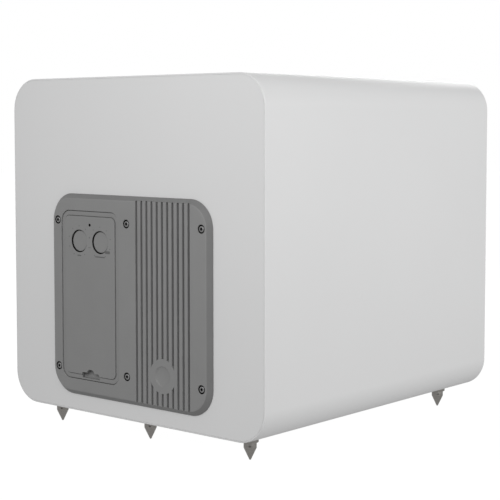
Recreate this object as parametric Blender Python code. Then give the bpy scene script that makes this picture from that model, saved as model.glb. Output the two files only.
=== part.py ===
"""An active subwoofer: a round-cornered sealed cabinet, an amplifier in its back and a driver in its front.

Metres, +Z up. The driver and its grille face -Y, the amplifier panel faces +Y, and the origin is on the floor
under the middle. Places on the back are given as seen from behind: across to the right, which is -X, and up
from the cabinet's centre. Depths there are measured inwards from the amplifier panel's face.
"""

import math
from collections import namedtuple

import bmesh
import bpy
from mathutils import Matrix, Vector

for old in list(bpy.data.objects):
    bpy.data.objects.remove(old, do_unlink=True)

# ---------------------------------------------------------------- driving dimensions, in metres
CABINET_WIDTH = 0.400
CABINET_HEIGHT = 0.3925
CABINET_DEPTH = 0.443
CORNER_RADIUS = 0.037
CORNER_STEPS = 8
WALL = 0.018
REAR_LIP = 0.0018
REAR_BOARD = 0.018
REAR_SEAM = 0.0004
FRONT_LIP = 0.006
GRILLE_RECESS = 0.020
ARRIS = 0.0012
BAFFLE = 0.025
CLEARANCE = 0.0003

FOOT_HEIGHT = 0.026
SPIKE_SPACING = 0.152
SPIKE_FROM_REAR = 0.032
SPIKE_FROM_FRONT = 0.037
SPIKE_TIP_RADIUS = 0.0008
SPIKE_RADIUS = 0.0072
SPIKE_CONE = 0.0135
SPIKE_BODY = 0.0060
NUT_RADIUS = 0.0094
NUT_HEIGHT = 0.0060
STUD_RADIUS = 0.0039
STUD_LENGTH = 0.022

PANEL_PROUD = 0.006
PANEL_CHAMFER = 0.0054
PANEL_BACK = 0.0057
SLAB_BACK = 0.0095
COVER_LEDGE = 0.0036
UPPER_FLOOR = 0.012
UPPER_BACK = 0.015
TUB_BACK = 0.041
TUB_WALL = 0.003
SOCKET_PLATE = 0.0017
BOARD_DEPTH = 0.060
HOUSING_BACK = 0.072
HOUSING_WALL = 0.0015

GROOVE_FIRST = 0.0162
GROOVE_PITCH = 0.00802
GROOVE_COUNT = 11
GROOVE_WIDTH = 0.0037
GROOVE_FLOOR = 0.0026
GROOVE_DEPTH = 0.0042
GROOVE_TOP = 0.0568
GROOVE_BOTTOM = -0.1714
DISC_RADIUS = 0.0196
DISC_PLACE = (0.0567, -0.1373)

SCREW_ACROSS = (-0.115, 0.0, 0.115)
SCREW_UP = (-0.1445, 0.0296)
SCREW_SINK = 0.0049
SCREW_HEAD = 0.0035
SCREW_SHANK = 0.0019

KNOB_RADIUS = 0.0115
KNOB_HOLE = 0.0129
KNOB_UP = 0.0062
LEVEL_ACROSS = -0.078
CROSSOVER_ACROSS = -0.043
SPINDLE_RADIUS = 0.0030
LED_PLACE = (-0.0604, 0.0255)
LED_RADIUS = 0.0014

# places on the back, as seen from behind: across to the right, and up from the cabinet's centre
PHONO_PLACE, PHONO_PITCH = (-0.066, -0.029), 0.018
PHONO_BARREL, PHONO_BORE = 0.0041, 0.0017
INLET_PLACE, INLET_WIDTH, INLET_HEIGHT = (-0.0715, -0.0880), 0.030, 0.036
SOCKET_DROP, FUSE_RISE = 0.0070, 0.0108
ROCKER_PLACE, ROCKER_TILT = (-0.0335, -0.0900), 9
PHASE_PLACE, PHASE_THROW = (-0.0300, -0.0290), 0.004
MODE_PLACE, MODE_THROW = (-0.0300, -0.0560), 0.003
NUB_WIDTH, NUB_HEIGHT, NUB_FRONT = 0.0042, 0.0045, 0.0386
LEAD_EXIT, LEAD_RADIUS = (-0.060, -0.030), 0.0025
TRANSFORMER_PLACE = (0.052, -0.085)
CAPACITORS_ACROSS, CAPACITOR_UP, CAPACITOR_RADIUS = (0.034, 0.066), 0.008, 0.0125

DRIVER_RADIUS = 0.1535
DRIVER_HOLE = 0.1436
CONE_RADIUS = 0.117
CONE_NECK = 0.0267
ROLL_RADIUS = 0.0100
COIL_RADIUS = 0.0262
DRIVER_STEPS = 32
BASKET_WINDOWS = 6

BRACE_NEAR, BRACE_THICK, BRACE_ARM, BRACE_RIM = -0.012, 0.018, 0.030, 0.022
WADDING_THICK, WADDING_OPEN = 0.022, 0.080
GRILLE_GAP, CLOTH, GRILLE_BACK, FRAME_OPENING = 0.0010, 0.0008, 0.0125, 0.158
PEG_ACROSS, PEG_UP, PEG_RADIUS = 0.168, 0.164, 0.0038

# ---------------------------------------------------------------- what follows from them
FRONT_Y = -(CABINET_DEPTH + PANEL_PROUD) / 2
REAR_Y = FRONT_Y + CABINET_DEPTH
PANEL_Y = REAR_Y + PANEL_PROUD
BAFFLE_Y = FRONT_Y + GRILLE_RECESS
CENTRE_Z = FOOT_HEIGHT + CABINET_HEIGHT / 2
PLATE_FRONT = TUB_BACK + CLEARANCE
PLATE_BACK = PLATE_FRONT + SOCKET_PLATE
BODY_FRONT = PLATE_BACK + CLEARANCE
MM = 0.001


class Area(namedtuple("Area", "left right low high radius")):
    """A round-cornered rectangle on the back, as seen from behind."""

    def grown(self, by):
        radius = max(self.radius + by, MM / 2)
        return Area(self.left - by, self.right + by, self.low - by, self.high + by, radius)

    def outline(self, steps=5):
        centre = behind((self.left + self.right) / 2, (self.low + self.high) / 2)
        return rounded(self.right - self.left, self.high - self.low, self.radius, steps, centre)


PANEL = Area(-0.1275, 0.1275, -0.1764, 0.0611, 0.032)
CUTOUT = Area(-0.1095, 0.1095, -0.1630, 0.0480, 0.010)
SLAB = Area(-0.1088, 0.1088, -0.1622, 0.0472, 0.009)
COVER_RECESS = Area(-0.1085, -0.0124, -0.1568, 0.0417, 0.013)
UPPER_POCKET = Area(-0.1005, -0.0204, -0.0160, 0.0337, 0.006)
POCKET_LOW = -0.1488
RAMP_FOOT = -0.1180
LOWER_TOP = -0.0100
HOUSING = Area(-0.1075, 0.1075, -0.1600, 0.0450, 0.006)
NOTCH = (-0.0751, -0.0455)
NOTCH_LOW, NOTCH_SHOULDER, NOTCH_HUMP = -0.1541, -0.1475, 0.0060


def behind(across, up):
    """X and Z of a place on the back."""
    return (-across, CENTRE_Z + up)


def inward(depth):
    """Y at a depth behind the amplifier panel's face."""
    return PANEL_Y - depth


# ---------------------------------------------------------------- materials
FINISHES = {
    "satin_white": ((0.74, 0.75, 0.76), 0.45, 0.0),
    "panel_grey": ((0.20, 0.20, 0.20), 0.50, 0.0),
    "knob_grey": ((0.21, 0.21, 0.21), 0.45, 0.0),
    "fibreboard": ((0.40, 0.28, 0.17), 0.85, 0.0),
    "black_board": ((0.03, 0.03, 0.03), 0.80, 0.0),
    "wadding": ((0.80, 0.80, 0.77), 1.00, 0.0),
    "spike_steel": ((0.30, 0.29, 0.27), 0.35, 1.0),
    "screw_steel": ((0.35, 0.35, 0.36), 0.40, 1.0),
    "zinc_steel": ((0.55, 0.55, 0.56), 0.40, 1.0),
    "foam": ((0.04, 0.04, 0.04), 0.95, 0.0),
    "black_plastic": ((0.02, 0.02, 0.02), 0.40, 0.0),
    "lamp_red": ((0.30, 0.01, 0.01), 0.20, 0.0),
    "circuit_green": ((0.02, 0.14, 0.05), 0.50, 0.0),
    "winding": ((0.45, 0.20, 0.07), 0.40, 0.6),
    "capacitor": ((0.05, 0.06, 0.12), 0.40, 0.0),
    "basket_black": ((0.025, 0.025, 0.025), 0.45, 0.3),
    "ferrite": ((0.06, 0.06, 0.06), 0.70, 0.0),
    "cone_paper": ((0.03, 0.03, 0.03), 0.75, 0.0),
    "surround_rubber": ((0.02, 0.02, 0.02), 0.60, 0.0),
    "spider_cloth": ((0.55, 0.38, 0.15), 0.90, 0.0),
    "grille_cloth": ((0.09, 0.09, 0.095), 0.95, 0.0),
}


def finish(name):
    """The named finish as a Principled BSDF material, made once."""
    material = bpy.data.materials.get(name)
    if material is None:
        material = bpy.data.materials.new(name)
        material.use_nodes = True
        colour, roughness, metallic = FINISHES[name]
        shader = material.node_tree.nodes["Principled BSDF"]
        shader.inputs["Base Color"].default_value = (*colour, 1.0)
        shader.inputs["Roughness"].default_value = roughness
        shader.inputs["Metallic"].default_value = metallic
    return material


# ---------------------------------------------------------------- outlines
def rounded(width, height, radius, steps, centre=(0.0, 0.0)):
    """A rectangle with round corners, as points in the plane, anticlockwise."""
    points = []
    for corner, (side, rise) in enumerate(((1, 1), (-1, 1), (-1, -1), (1, -1))):
        middle = (centre[0] + side * (width / 2 - radius), centre[1] + rise * (height / 2 - radius))
        for step in range(steps + 1):
            angle = math.radians(90 * (corner + step / steps))
            points.append((middle[0] + radius * math.cos(angle), middle[1] + radius * math.sin(angle)))
    return points


def cabinet_outline(inset):
    """The cabinet's section, drawn in by some distance."""
    width, height = CABINET_WIDTH - 2 * inset, CABINET_HEIGHT - 2 * inset
    return rounded(width, height, CORNER_RADIUS - inset, CORNER_STEPS, (0.0, CENTRE_Z))


def rectangle(low, high):
    """A plain rectangle between two corners."""
    return [low, (high[0], low[1]), high, (low[0], high[1])]


# ---------------------------------------------------------------- solids, as meshes
def lofted(sections, closed=False):
    """A solid through outlines of (x, z) points, each at its y. Closed joins the last one to the first."""
    mesh = bmesh.new()
    rings = [[mesh.verts.new((x, y, z)) for x, z in outline] for outline, y in sections]
    following = rings[1:] + rings[:1] if closed else rings[1:]
    for ring, beyond in zip(rings, following):
        for i in range(len(ring)):
            j = (i + 1) % len(ring)
            mesh.faces.new((ring[i], ring[j], beyond[j], beyond[i]))
    if not closed:
        mesh.faces.new(rings[0])
        mesh.faces.new(rings[-1])
    bmesh.ops.recalc_face_normals(mesh, faces=mesh.faces)
    return mesh


def slab(outline, near, far):
    """An outline of (x, z) points given thickness along Y."""
    return lofted([(outline, near), (outline, far)])


def bar(points, near, far):
    """An outline of (y, z) points given thickness along X."""
    mesh = slab([(y, z) for y, z in points], near, far)
    for vertex in mesh.verts:
        x, y, z = vertex.co
        vertex.co = (y, x, z)
    mesh.normal_update()
    bmesh.ops.recalc_face_normals(mesh, faces=mesh.faces)
    return mesh


def turned(profile, steps=24, upright=False, closed=True):
    """A solid turned about Y, or about Z if upright, from points of (radius, distance along the axis)."""
    mesh = bmesh.new()
    lay = (lambda r, t: (r, 0.0, t)) if upright else (lambda r, t: (r, t, 0.0))
    points = [mesh.verts.new(lay(r, t)) for r, t in profile]
    ends = zip(points, points[1:] + points[:1]) if closed else zip(points, points[1:])
    edges = [mesh.edges.new(pair) for pair in ends]
    axis = (0, 0, 1) if upright else (0, 1, 0)
    bmesh.ops.spin(
        mesh, geom=points + edges, cent=(0, 0, 0), axis=axis, angle=2 * math.pi, steps=steps, use_merge=True
    )
    bmesh.ops.remove_doubles(mesh, verts=mesh.verts, dist=1e-6)
    bmesh.ops.recalc_face_normals(mesh, faces=mesh.faces)
    return mesh


def together(meshes):
    """Several meshes as one, left as separate bodies."""
    whole = bmesh.new()
    for mesh in meshes:
        data = bpy.data.meshes.new("piece")
        mesh.to_mesh(data)
        whole.from_mesh(data)
        bpy.data.meshes.remove(data)
        mesh.free()
    return whole


def moved(mesh, x=0.0, y=0.0, z=0.0):
    bmesh.ops.translate(mesh, verts=mesh.verts, vec=Vector((x, y, z)))
    return mesh


def at_back(mesh, across, up):
    """A mesh made about the origin, put at a place on the back with its zero at the panel's face."""
    x, z = behind(across, up)
    return moved(mesh, x, PANEL_Y, z)


def hole(radius, shallow, deep, steps=16):
    """A cutter for a round hole on the back, between two depths."""
    return turned([(0.0, -shallow), (radius, -shallow), (radius, -deep), (0.0, -deep)], steps, closed=False)


# ---------------------------------------------------------------- objects
def make(name, mesh, finish_name, origin=(0.0, 0.0, 0.0), sharp=35):
    """An object from a mesh given in the whole's coordinates, with its own origin."""
    moved(mesh, *(-Vector(origin)))
    data = bpy.data.meshes.new(name)
    mesh.to_mesh(data)
    mesh.free()
    data.shade_smooth()
    data.set_sharp_from_angle(angle=math.radians(sharp))
    data.materials.append(finish(finish_name))
    made = bpy.data.objects.new(name, data)
    made.location = origin
    bpy.context.scene.collection.objects.link(made)
    return made


def shape_by(target, name, mesh, operation="DIFFERENCE"):
    """Cuts a mesh from an object, or joins it on, through a hidden tool object that it returns."""
    data = bpy.data.meshes.new(name)
    mesh.to_mesh(data)
    mesh.free()
    tool = bpy.data.objects.new(name, data)
    tool.hide_render = True
    tool.display_type = "WIRE"
    bpy.context.scene.collection.objects.link(tool)
    modifier = target.modifiers.new(name, "BOOLEAN")
    modifier.operation = operation
    modifier.solver = "EXACT"
    modifier.object = tool
    return tool


# ---------------------------------------------------------------- cabinet
def cabinet_wrap():
    """The four walls in one, rebated at the rear for the board and at the front for the grille."""
    sections = [
        (cabinet_outline(0.0), FRONT_Y + ARRIS),
        (cabinet_outline(0.0), REAR_Y - ARRIS),
        (cabinet_outline(ARRIS * 0.3), REAR_Y - ARRIS * 0.3),
        (cabinet_outline(ARRIS), REAR_Y),
        (cabinet_outline(REAR_LIP), REAR_Y),
        (cabinet_outline(REAR_LIP), REAR_Y - REAR_BOARD),
        (cabinet_outline(WALL), REAR_Y - REAR_BOARD),
        (cabinet_outline(WALL), BAFFLE_Y),
        (cabinet_outline(FRONT_LIP), BAFFLE_Y),
        (cabinet_outline(FRONT_LIP), FRONT_Y),
        (cabinet_outline(ARRIS), FRONT_Y),
        (cabinet_outline(ARRIS * 0.3), FRONT_Y + ARRIS * 0.3),
    ]
    wrap = make("cabinet_wrap", lofted(sections, closed=True), "satin_white")
    hole_section = rectangle((0.0, -WALL), (STUD_RADIUS + 0.0004, WALL * 1.5))
    places = spike_places().values()
    studs = [moved(turned(hole_section, 16, upright=True), x, y, FOOT_HEIGHT) for x, y in places]
    shape_by(wrap, "stud_holes", together(studs))


def rear_panel():
    inset = REAR_LIP + REAR_SEAM
    round_off = 0.0006
    sections = [
        (cabinet_outline(inset), REAR_Y - REAR_BOARD + CLEARANCE),
        (cabinet_outline(inset), REAR_Y - round_off),
        (cabinet_outline(inset + round_off), REAR_Y),
    ]
    board = make("rear_panel", lofted(sections), "satin_white")
    shape_by(board, "amplifier_cutout", slab(CUTOUT.outline(), REAR_Y - 2 * REAR_BOARD, REAR_Y + REAR_BOARD))
    rebate = CUTOUT.grown(0.0032).outline()
    shape_by(board, "gasket_rebate", slab(rebate, REAR_Y - 0.0016, REAR_Y + REAR_BOARD))
    pilots = [at_back(hole(SCREW_SHANK + CLEARANCE, 0.0, 0.03, 12), *place) for place in corner_screws()]
    shape_by(board, "pilot_holes", together(pilots))


def front_baffle():
    plate = slab(cabinet_outline(WALL + CLEARANCE), BAFFLE_Y + CLEARANCE, BAFFLE_Y + BAFFLE)
    board = make("front_baffle", plate, "black_board")
    opening = [
        (0.0, -0.01),
        (DRIVER_RADIUS + 0.0007, -0.01),
        (DRIVER_RADIUS + 0.0007, 0.007),
        (DRIVER_HOLE, 0.007),
        (DRIVER_HOLE, BAFFLE + 0.01),
        (0.0, BAFFLE + 0.01),
    ]
    cutter = moved(turned(opening, DRIVER_STEPS, closed=False), 0.0, BAFFLE_Y, CENTRE_Z)
    shape_by(board, "driver_opening", cutter)
    peg_hole = rectangle((0.0, -0.01), (PEG_RADIUS + 0.0004, 0.010))
    pegs = [moved(turned(peg_hole, 12), x, BAFFLE_Y, z) for x, z in grille_peg_places()]
    shape_by(board, "peg_holes", together(pegs))


def window_brace():
    """A frame across the middle of the cabinet, with four windows round a cross."""
    far = BRACE_NEAR + BRACE_THICK
    brace = make("window_brace", slab(cabinet_outline(WALL + CLEARANCE), BRACE_NEAR, far), "fibreboard")
    width = (CABINET_WIDTH - 2 * WALL - 2 * BRACE_RIM - BRACE_ARM) / 2
    height = (CABINET_HEIGHT - 2 * WALL - 2 * BRACE_RIM - BRACE_ARM) / 2
    windows = []
    for side in (-1, 1):
        for rise in (-1, 1):
            centre = (side * (BRACE_ARM + width) / 2, CENTRE_Z + rise * (BRACE_ARM + height) / 2)
            windows.append(slab(rounded(width, height, 0.015, 4, centre), BRACE_NEAR - MM, far + MM))
    shape_by(brace, "brace_windows", together(windows))


def damping_wadding():
    """Wadding round the top and sides, between the baffle and the brace."""
    near, far, drawn_in = BAFFLE_Y + BAFFLE + 0.010, BRACE_NEAR - 0.008, 2 * (WALL + WADDING_THICK)
    outer = cabinet_outline(WALL + MM)
    inner = rounded(CABINET_WIDTH - drawn_in, CABINET_HEIGHT - drawn_in, 0.006, CORNER_STEPS, (0.0, CENTRE_Z))
    sections = [(outer, near), (outer, far), (inner, far), (inner, near)]
    lining = make("damping_wadding", lofted(sections, closed=True), "wadding")
    floor = rectangle((-CABINET_WIDTH, 0.0), (CABINET_WIDTH, FOOT_HEIGHT + WADDING_OPEN))
    shape_by(lining, "wadding_gap", slab(floor, near - MM, far + MM))


# ---------------------------------------------------------------- spikes
def spike_places():
    """Where the six spikes stand, by name."""
    rows = {"rear": REAR_Y - SPIKE_FROM_REAR, "front": FRONT_Y + SPIKE_FROM_FRONT}
    columns = {"left": SPIKE_SPACING, "middle": 0.0, "right": -SPIKE_SPACING}
    return {f"{row}_{column}": (x, y) for row, y in rows.items() for column, x in columns.items()}


def spikes():
    """Pointed feet on threaded studs, each with a lock nut against the cabinet's underside."""
    shoulder = SPIKE_CONE + SPIKE_BODY
    spike_profile = [
        (0.0, 0.0),
        (SPIKE_TIP_RADIUS, 0.0),
        (SPIKE_RADIUS, SPIKE_CONE),
        (SPIKE_RADIUS, shoulder),
        (STUD_RADIUS, shoulder),
        (STUD_RADIUS, shoulder + STUD_LENGTH - MM),
        (STUD_RADIUS - MM, shoulder + STUD_LENGTH),
        (0.0, shoulder + STUD_LENGTH),
    ]
    nut_low = FOOT_HEIGHT - CLEARANCE - NUT_HEIGHT
    nut_profile = [
        (STUD_RADIUS + CLEARANCE, nut_low),
        (NUT_RADIUS - MM, nut_low),
        (NUT_RADIUS, nut_low + MM),
        (NUT_RADIUS, nut_low + NUT_HEIGHT),
        (STUD_RADIUS + CLEARANCE, nut_low + NUT_HEIGHT),
    ]
    for name, (x, y) in spike_places().items():
        spike = moved(turned(spike_profile, 12, upright=True, closed=False), x, y)
        make(f"spike_{name}", spike, "spike_steel", (x, y, 0.0))
        nut = moved(turned(nut_profile, 12, upright=True), x, y)
        make(f"lock_nut_{name}", nut, "spike_steel", (x, y, nut_low))


# ---------------------------------------------------------------- amplifier panel
def panel_screws():
    """Where the panel's screws are, by name."""
    rows = dict(zip(("bottom", "top"), SCREW_UP))
    columns = dict(zip(("left", "middle", "right"), SCREW_ACROSS))
    return {f"{row}_{column}": (across, up) for row, up in rows.items() for column, across in columns.items()}


def corner_screws():
    return [place for name, place in panel_screws().items() if "middle" not in name]


def cover_pegs():
    """Where the cover's four pegs are: on the ledge, near its corners."""
    inset = 0.0043
    return [
        (across, up)
        for across in (COVER_RECESS.left + inset, COVER_RECESS.right - inset)
        for up in (COVER_RECESS.low + inset, COVER_RECESS.high - inset)
    ]


def lengthwise(points, left, right):
    """A solid from (depth, up) points on the back, given its width from left to right."""
    return bar([(inward(depth), CENTRE_Z + up) for depth, up in points], -right, -left)


def amp_panel():
    """The cast amplifier panel: a chamfered plate with cooling grooves and a sunken terminal bay."""
    sections = [
        (PANEL.outline(8), inward(PANEL_BACK)),
        (PANEL.outline(8), inward(PANEL_CHAMFER)),
        (PANEL.grown(-PANEL_CHAMFER).outline(8), inward(0.0)),
    ]
    panel = make("amp_panel", lofted(sections), "panel_grey", sharp=25)
    shape_by(panel, "panel_slab", slab(SLAB.outline(), inward(SLAB_BACK), inward(0.003)), "UNION")
    left, right = UPPER_POCKET.left - TUB_WALL, UPPER_POCKET.right + TUB_WALL
    top = UPPER_POCKET.high + TUB_WALL
    tub = [
        (0.005, top),
        (UPPER_BACK, top),
        (UPPER_BACK, LOWER_TOP + TUB_WALL),
        (TUB_BACK, LOWER_TOP + TUB_WALL),
        (TUB_BACK, RAMP_FOOT - TUB_WALL),
        (0.010, POCKET_LOW - TUB_WALL),
        (0.005, POCKET_LOW - TUB_WALL),
    ]
    shape_by(panel, "terminal_tub", lengthwise(tub, left, right), "UNION")
    shape_by(panel, "cover_recess", slab(COVER_RECESS.outline(6), inward(COVER_LEDGE), inward(-0.002)))
    shape_by(panel, "upper_pocket", slab(UPPER_POCKET.outline(), inward(UPPER_FLOOR), inward(-0.003)))
    pocket = [
        (-0.003, LOWER_TOP),
        (TUB_BACK + 0.002, LOWER_TOP),
        (TUB_BACK + 0.002, RAMP_FOOT),
        (TUB_BACK - 0.002, RAMP_FOOT),
        (0.007, POCKET_LOW),
        (-0.003, POCKET_LOW),
    ]
    shape_by(panel, "lower_pocket", lengthwise(pocket, UPPER_POCKET.left, UPPER_POCKET.right))
    top = POCKET_LOW + 0.003
    channel = [(-0.002, top), (0.0082, top), (0.0045, NOTCH_LOW), (-0.002, NOTCH_LOW)]
    shape_by(panel, "cable_channel", lengthwise(channel, NOTCH[0] - 0.0006, NOTCH[1] + 0.0006))
    cut_grooves(panel)
    sinks = [at_back(screw_sink(), across, up) for across, up in panel_screws().values()]
    shape_by(panel, "screw_sinks", together(sinks))
    spindles = (LEVEL_ACROSS, CROSSOVER_ACROSS)
    bores = [at_back(hole(0.0042, 0.010, 0.02), across, KNOB_UP) for across in spindles]
    bores.append(at_back(hole(LED_RADIUS + CLEARANCE, 0.010, 0.02, 12), *LED_PLACE))
    shape_by(panel, "control_bores", together(bores))
    pegs = [at_back(hole(0.0022, 0.002, 0.0088, 12), across, up) for across, up in cover_pegs()]
    shape_by(panel, "peg_sockets", together(pegs))


def cut_grooves(panel):
    """Straight cooling grooves with round ends, stopped round a plain disc."""
    middle, length = (GROOVE_TOP + GROOVE_BOTTOM) / 2, GROOVE_TOP - GROOVE_BOTTOM
    grooves = []
    for index in range(GROOVE_COUNT):
        centre = behind(GROOVE_FIRST + index * GROOVE_PITCH, middle)
        mouth = rounded(GROOVE_WIDTH, length, GROOVE_WIDTH / 2.001, 2, centre)
        floor = rounded(GROOVE_FLOOR, length - GROOVE_WIDTH + GROOVE_FLOOR, GROOVE_FLOOR / 2.001, 2, centre)
        sections = [(mouth, inward(-0.002)), (mouth, inward(0.0006)), (floor, inward(GROOVE_DEPTH))]
        grooves.append(lofted(sections))
    cutter = shape_by(panel, "grooves", together(grooves))
    shape_by(cutter, "groove_stop", at_back(hole(DISC_RADIUS, -0.004, 0.008, 32), *DISC_PLACE))


def screw_sink():
    """A counterbore with a clearance hole below it."""
    profile = [
        (0.0, 0.002),
        (SCREW_SINK, 0.002),
        (SCREW_SINK, -0.0035),
        (SCREW_SHANK + 0.0004, -0.0035),
        (SCREW_SHANK + 0.0004, -0.012),
        (0.0, -0.012),
    ]
    return turned(profile, 16, closed=False)


def screws():
    """Six socket-headed screws: the four at the corners hold the panel, the two in the middle its housing."""
    profile = [
        (0.0, -0.0024),
        (0.0015, -0.0024),
        (0.0015, -0.0007),
        (SCREW_HEAD - 0.0006, -0.0007),
        (SCREW_HEAD, -0.0013),
        (SCREW_HEAD, -0.0032),
        (SCREW_SHANK, -0.0032),
        (SCREW_SHANK, -0.0200),
        (0.0, -0.0215),
    ]
    for name, (across, up) in panel_screws().items():
        x, z = behind(across, up)
        screw = at_back(turned(profile, 12, closed=False), across, up)
        make(f"panel_screw_{name}", screw, "screw_steel", (x, PANEL_Y, z))


def panel_gasket():
    outer, inner = CUTOUT.grown(0.0029).outline(), CUTOUT.grown(CLEARANCE).outline()
    near, far = inward(0.0060), inward(0.0073)
    sections = [(outer, near), (outer, far), (inner, far), (inner, near)]
    make("panel_gasket", lofted(sections, closed=True), "foam")


def terminal_cover():
    """The lift-off cover of the terminal bay: a rim, a raised middle, two knob holes and a cable notch."""
    fit, rim_top, underside = 0.0005, 0.0012, 0.0033
    sections = [
        (COVER_RECESS.grown(-fit).outline(6), inward(underside)),
        (COVER_RECESS.grown(-fit).outline(6), inward(rim_top + 0.0003)),
        (COVER_RECESS.grown(-fit - 0.0003).outline(6), inward(rim_top)),
        (COVER_RECESS.grown(-0.0056).outline(6), inward(rim_top)),
        (COVER_RECESS.grown(-0.0064).outline(6), inward(0.0002)),
    ]
    x, z = behind(NOTCH[0], NOTCH_LOW)
    cover = make("terminal_cover", lofted(sections), "panel_grey", (x, inward(underside), z), sharp=20)
    pegs = [at_back(hole(0.0018, 0.0025, 0.0080, 10), across, up) for across, up in cover_pegs()]
    shape_by(cover, "cover_pegs", together(pegs), "UNION")
    lip = 0.0009
    knob_hole = [
        (0.0, 0.002),
        (KNOB_HOLE + lip, 0.002),
        (KNOB_HOLE + lip, -0.0002),
        (KNOB_HOLE, -0.0002 - lip),
        (KNOB_HOLE, -0.006),
        (0.0, -0.006),
    ]
    holes = [at_back(turned(knob_hole, 32, closed=False), across, KNOB_UP)
             for across in (LEVEL_ACROSS, CROSSOVER_ACROSS)]
    holes.append(at_back(hole(0.00175, -0.002, 0.006, 12), *LED_PLACE))
    shape_by(cover, "control_holes", together(holes))
    shape_by(cover, "cable_notch", slab(notch_outline(), inward(-0.003), inward(0.006)))


def notch_outline():
    """The cable notch: flat below, with shoulders and a round hump above the middle."""
    middle = (NOTCH[0] + NOTCH[1]) / 2
    rise = NOTCH_SHOULDER - NOTCH_LOW
    points = [(NOTCH[0], NOTCH_LOW), (NOTCH[1], NOTCH_LOW), (NOTCH[1], NOTCH_SHOULDER - rise / 3),
              (NOTCH[1] - rise / 3, NOTCH_SHOULDER)]
    for step in range(9):
        angle = math.radians(22.5 * step)
        up = NOTCH_SHOULDER + 0.65 * NOTCH_HUMP * math.sin(angle)
        points.append((middle + NOTCH_HUMP * math.cos(angle), up))
    points += [(NOTCH[0] + rise / 3, NOTCH_SHOULDER), (NOTCH[0], NOTCH_SHOULDER - rise / 3)]
    return [behind(across, up) for across, up in points]


# ---------------------------------------------------------------- controls and lamp
def control(name, across):
    """A knob with its spindle, and the potentiometer that the spindle turns in."""
    face, back = 0.0008, 0.0114
    profile = [
        (0.0, -face),
        (KNOB_RADIUS - 0.0007, -face),
        (KNOB_RADIUS, -face - 0.0007),
        (KNOB_RADIUS, -back),
        (SPINDLE_RADIUS, -back),
        (SPINDLE_RADIUS, -0.0205),
        (0.0, -0.0205),
    ]
    x, z = behind(across, KNOB_UP)
    knob = make(f"{name}_knob", at_back(turned(profile, 36, closed=False), across, KNOB_UP), "knob_grey",
                (x, PANEL_Y, z))
    pointer = rectangle((x - 0.0006, z + 0.0045), (x + 0.0006, z + 0.0102))
    shape_by(knob, f"{name}_pointer", slab(pointer, inward(face + 0.0005), inward(-0.002)))
    half = 0.0085
    square = rectangle((x - half, z - half), (x + half, z + half))
    body = slab(square, inward(0.0234), inward(UPPER_BACK + 0.0004))
    pot = make(f"{name}_potentiometer", body, "zinc_steel", (x, PANEL_Y, z))
    bushing = at_back(hole(0.0039, UPPER_FLOOR + 0.0004, UPPER_BACK + 0.002), across, KNOB_UP)
    shape_by(pot, f"{name}_bushing", bushing, "UNION")
    shape_by(pot, f"{name}_bore", at_back(hole(SPINDLE_RADIUS + CLEARANCE, 0.010, 0.0215), across, KNOB_UP))


def status_lamp():
    profile = [
        (0.0, -0.0042),
        (LED_RADIUS * 0.7, -0.0045),
        (LED_RADIUS, -0.0055),
        (LED_RADIUS, -0.0220),
        (0.0, -0.0220),
    ]
    x, z = behind(*LED_PLACE)
    make("led_lens", at_back(turned(profile, 12, closed=False), *LED_PLACE), "lamp_red", (x, PANEL_Y, z))


# ---------------------------------------------------------------- sockets and switches, behind the cover
def back_area(place, width, height, radius=0.0005, rise=0.0):
    """The Area of a given size about a place, or a little above it."""
    across, up = place[0], place[1] + rise
    return Area(across - width / 2, across + width / 2, up - height / 2, up + height / 2, radius)


def back_block(area, shallow, deep, steps=1):
    """A block on the back between two depths."""
    return slab(area.outline(steps), inward(deep), inward(shallow))


def phono_centres():
    return [(PHONO_PLACE[0] + step * PHONO_PITCH, PHONO_PLACE[1]) for step in (-1, 0, 1)]


def socket_plate():
    """The steel plate at the bottom of the bay, cut for everything that comes through it."""
    left, right = UPPER_POCKET.left - 0.0025, UPPER_POCKET.right + 0.0025
    area = Area(left, right, RAMP_FOOT - 0.0030, LOWER_TOP + 0.0020, 0.002)
    plate = make("socket_plate", back_block(area, PLATE_FRONT, PLATE_BACK, 3), "zinc_steel")
    openings = [at_back(hole(PHONO_BARREL + CLEARANCE, 0.035, 0.050), *place) for place in phono_centres()]
    inlet = back_area(INLET_PLACE, INLET_WIDTH - 0.0024, INLET_HEIGHT - 0.0024)
    openings.append(back_block(inlet, 0.035, 0.050))
    openings.append(back_block(back_area(ROCKER_PLACE, 0.0136, 0.0196), 0.035, 0.050))
    openings.append(back_block(back_area(PHASE_PLACE, 0.0048, 0.0093), 0.035, 0.050))
    openings.append(back_block(back_area(MODE_PLACE, 0.0048, 0.0113), 0.035, 0.050))
    shape_by(plate, "plate_openings", together(openings))


def phono_sockets():
    """Three phono sockets on one moulded block."""
    body = back_block(back_area(PHONO_PLACE, 0.056, 0.017, 0.001), BODY_FRONT, 0.054)
    block = make("phono_sockets", body, "black_plastic")
    barrels = [at_back(hole(PHONO_BARREL, 0.0325, 0.0450), across, up) for across, up in phono_centres()]
    shape_by(block, "phono_barrels", together(barrels), "UNION")
    bores = [at_back(hole(PHONO_BORE, 0.0300, 0.0420, 10), across, up) for across, up in phono_centres()]
    shape_by(block, "phono_bores", together(bores))


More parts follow.
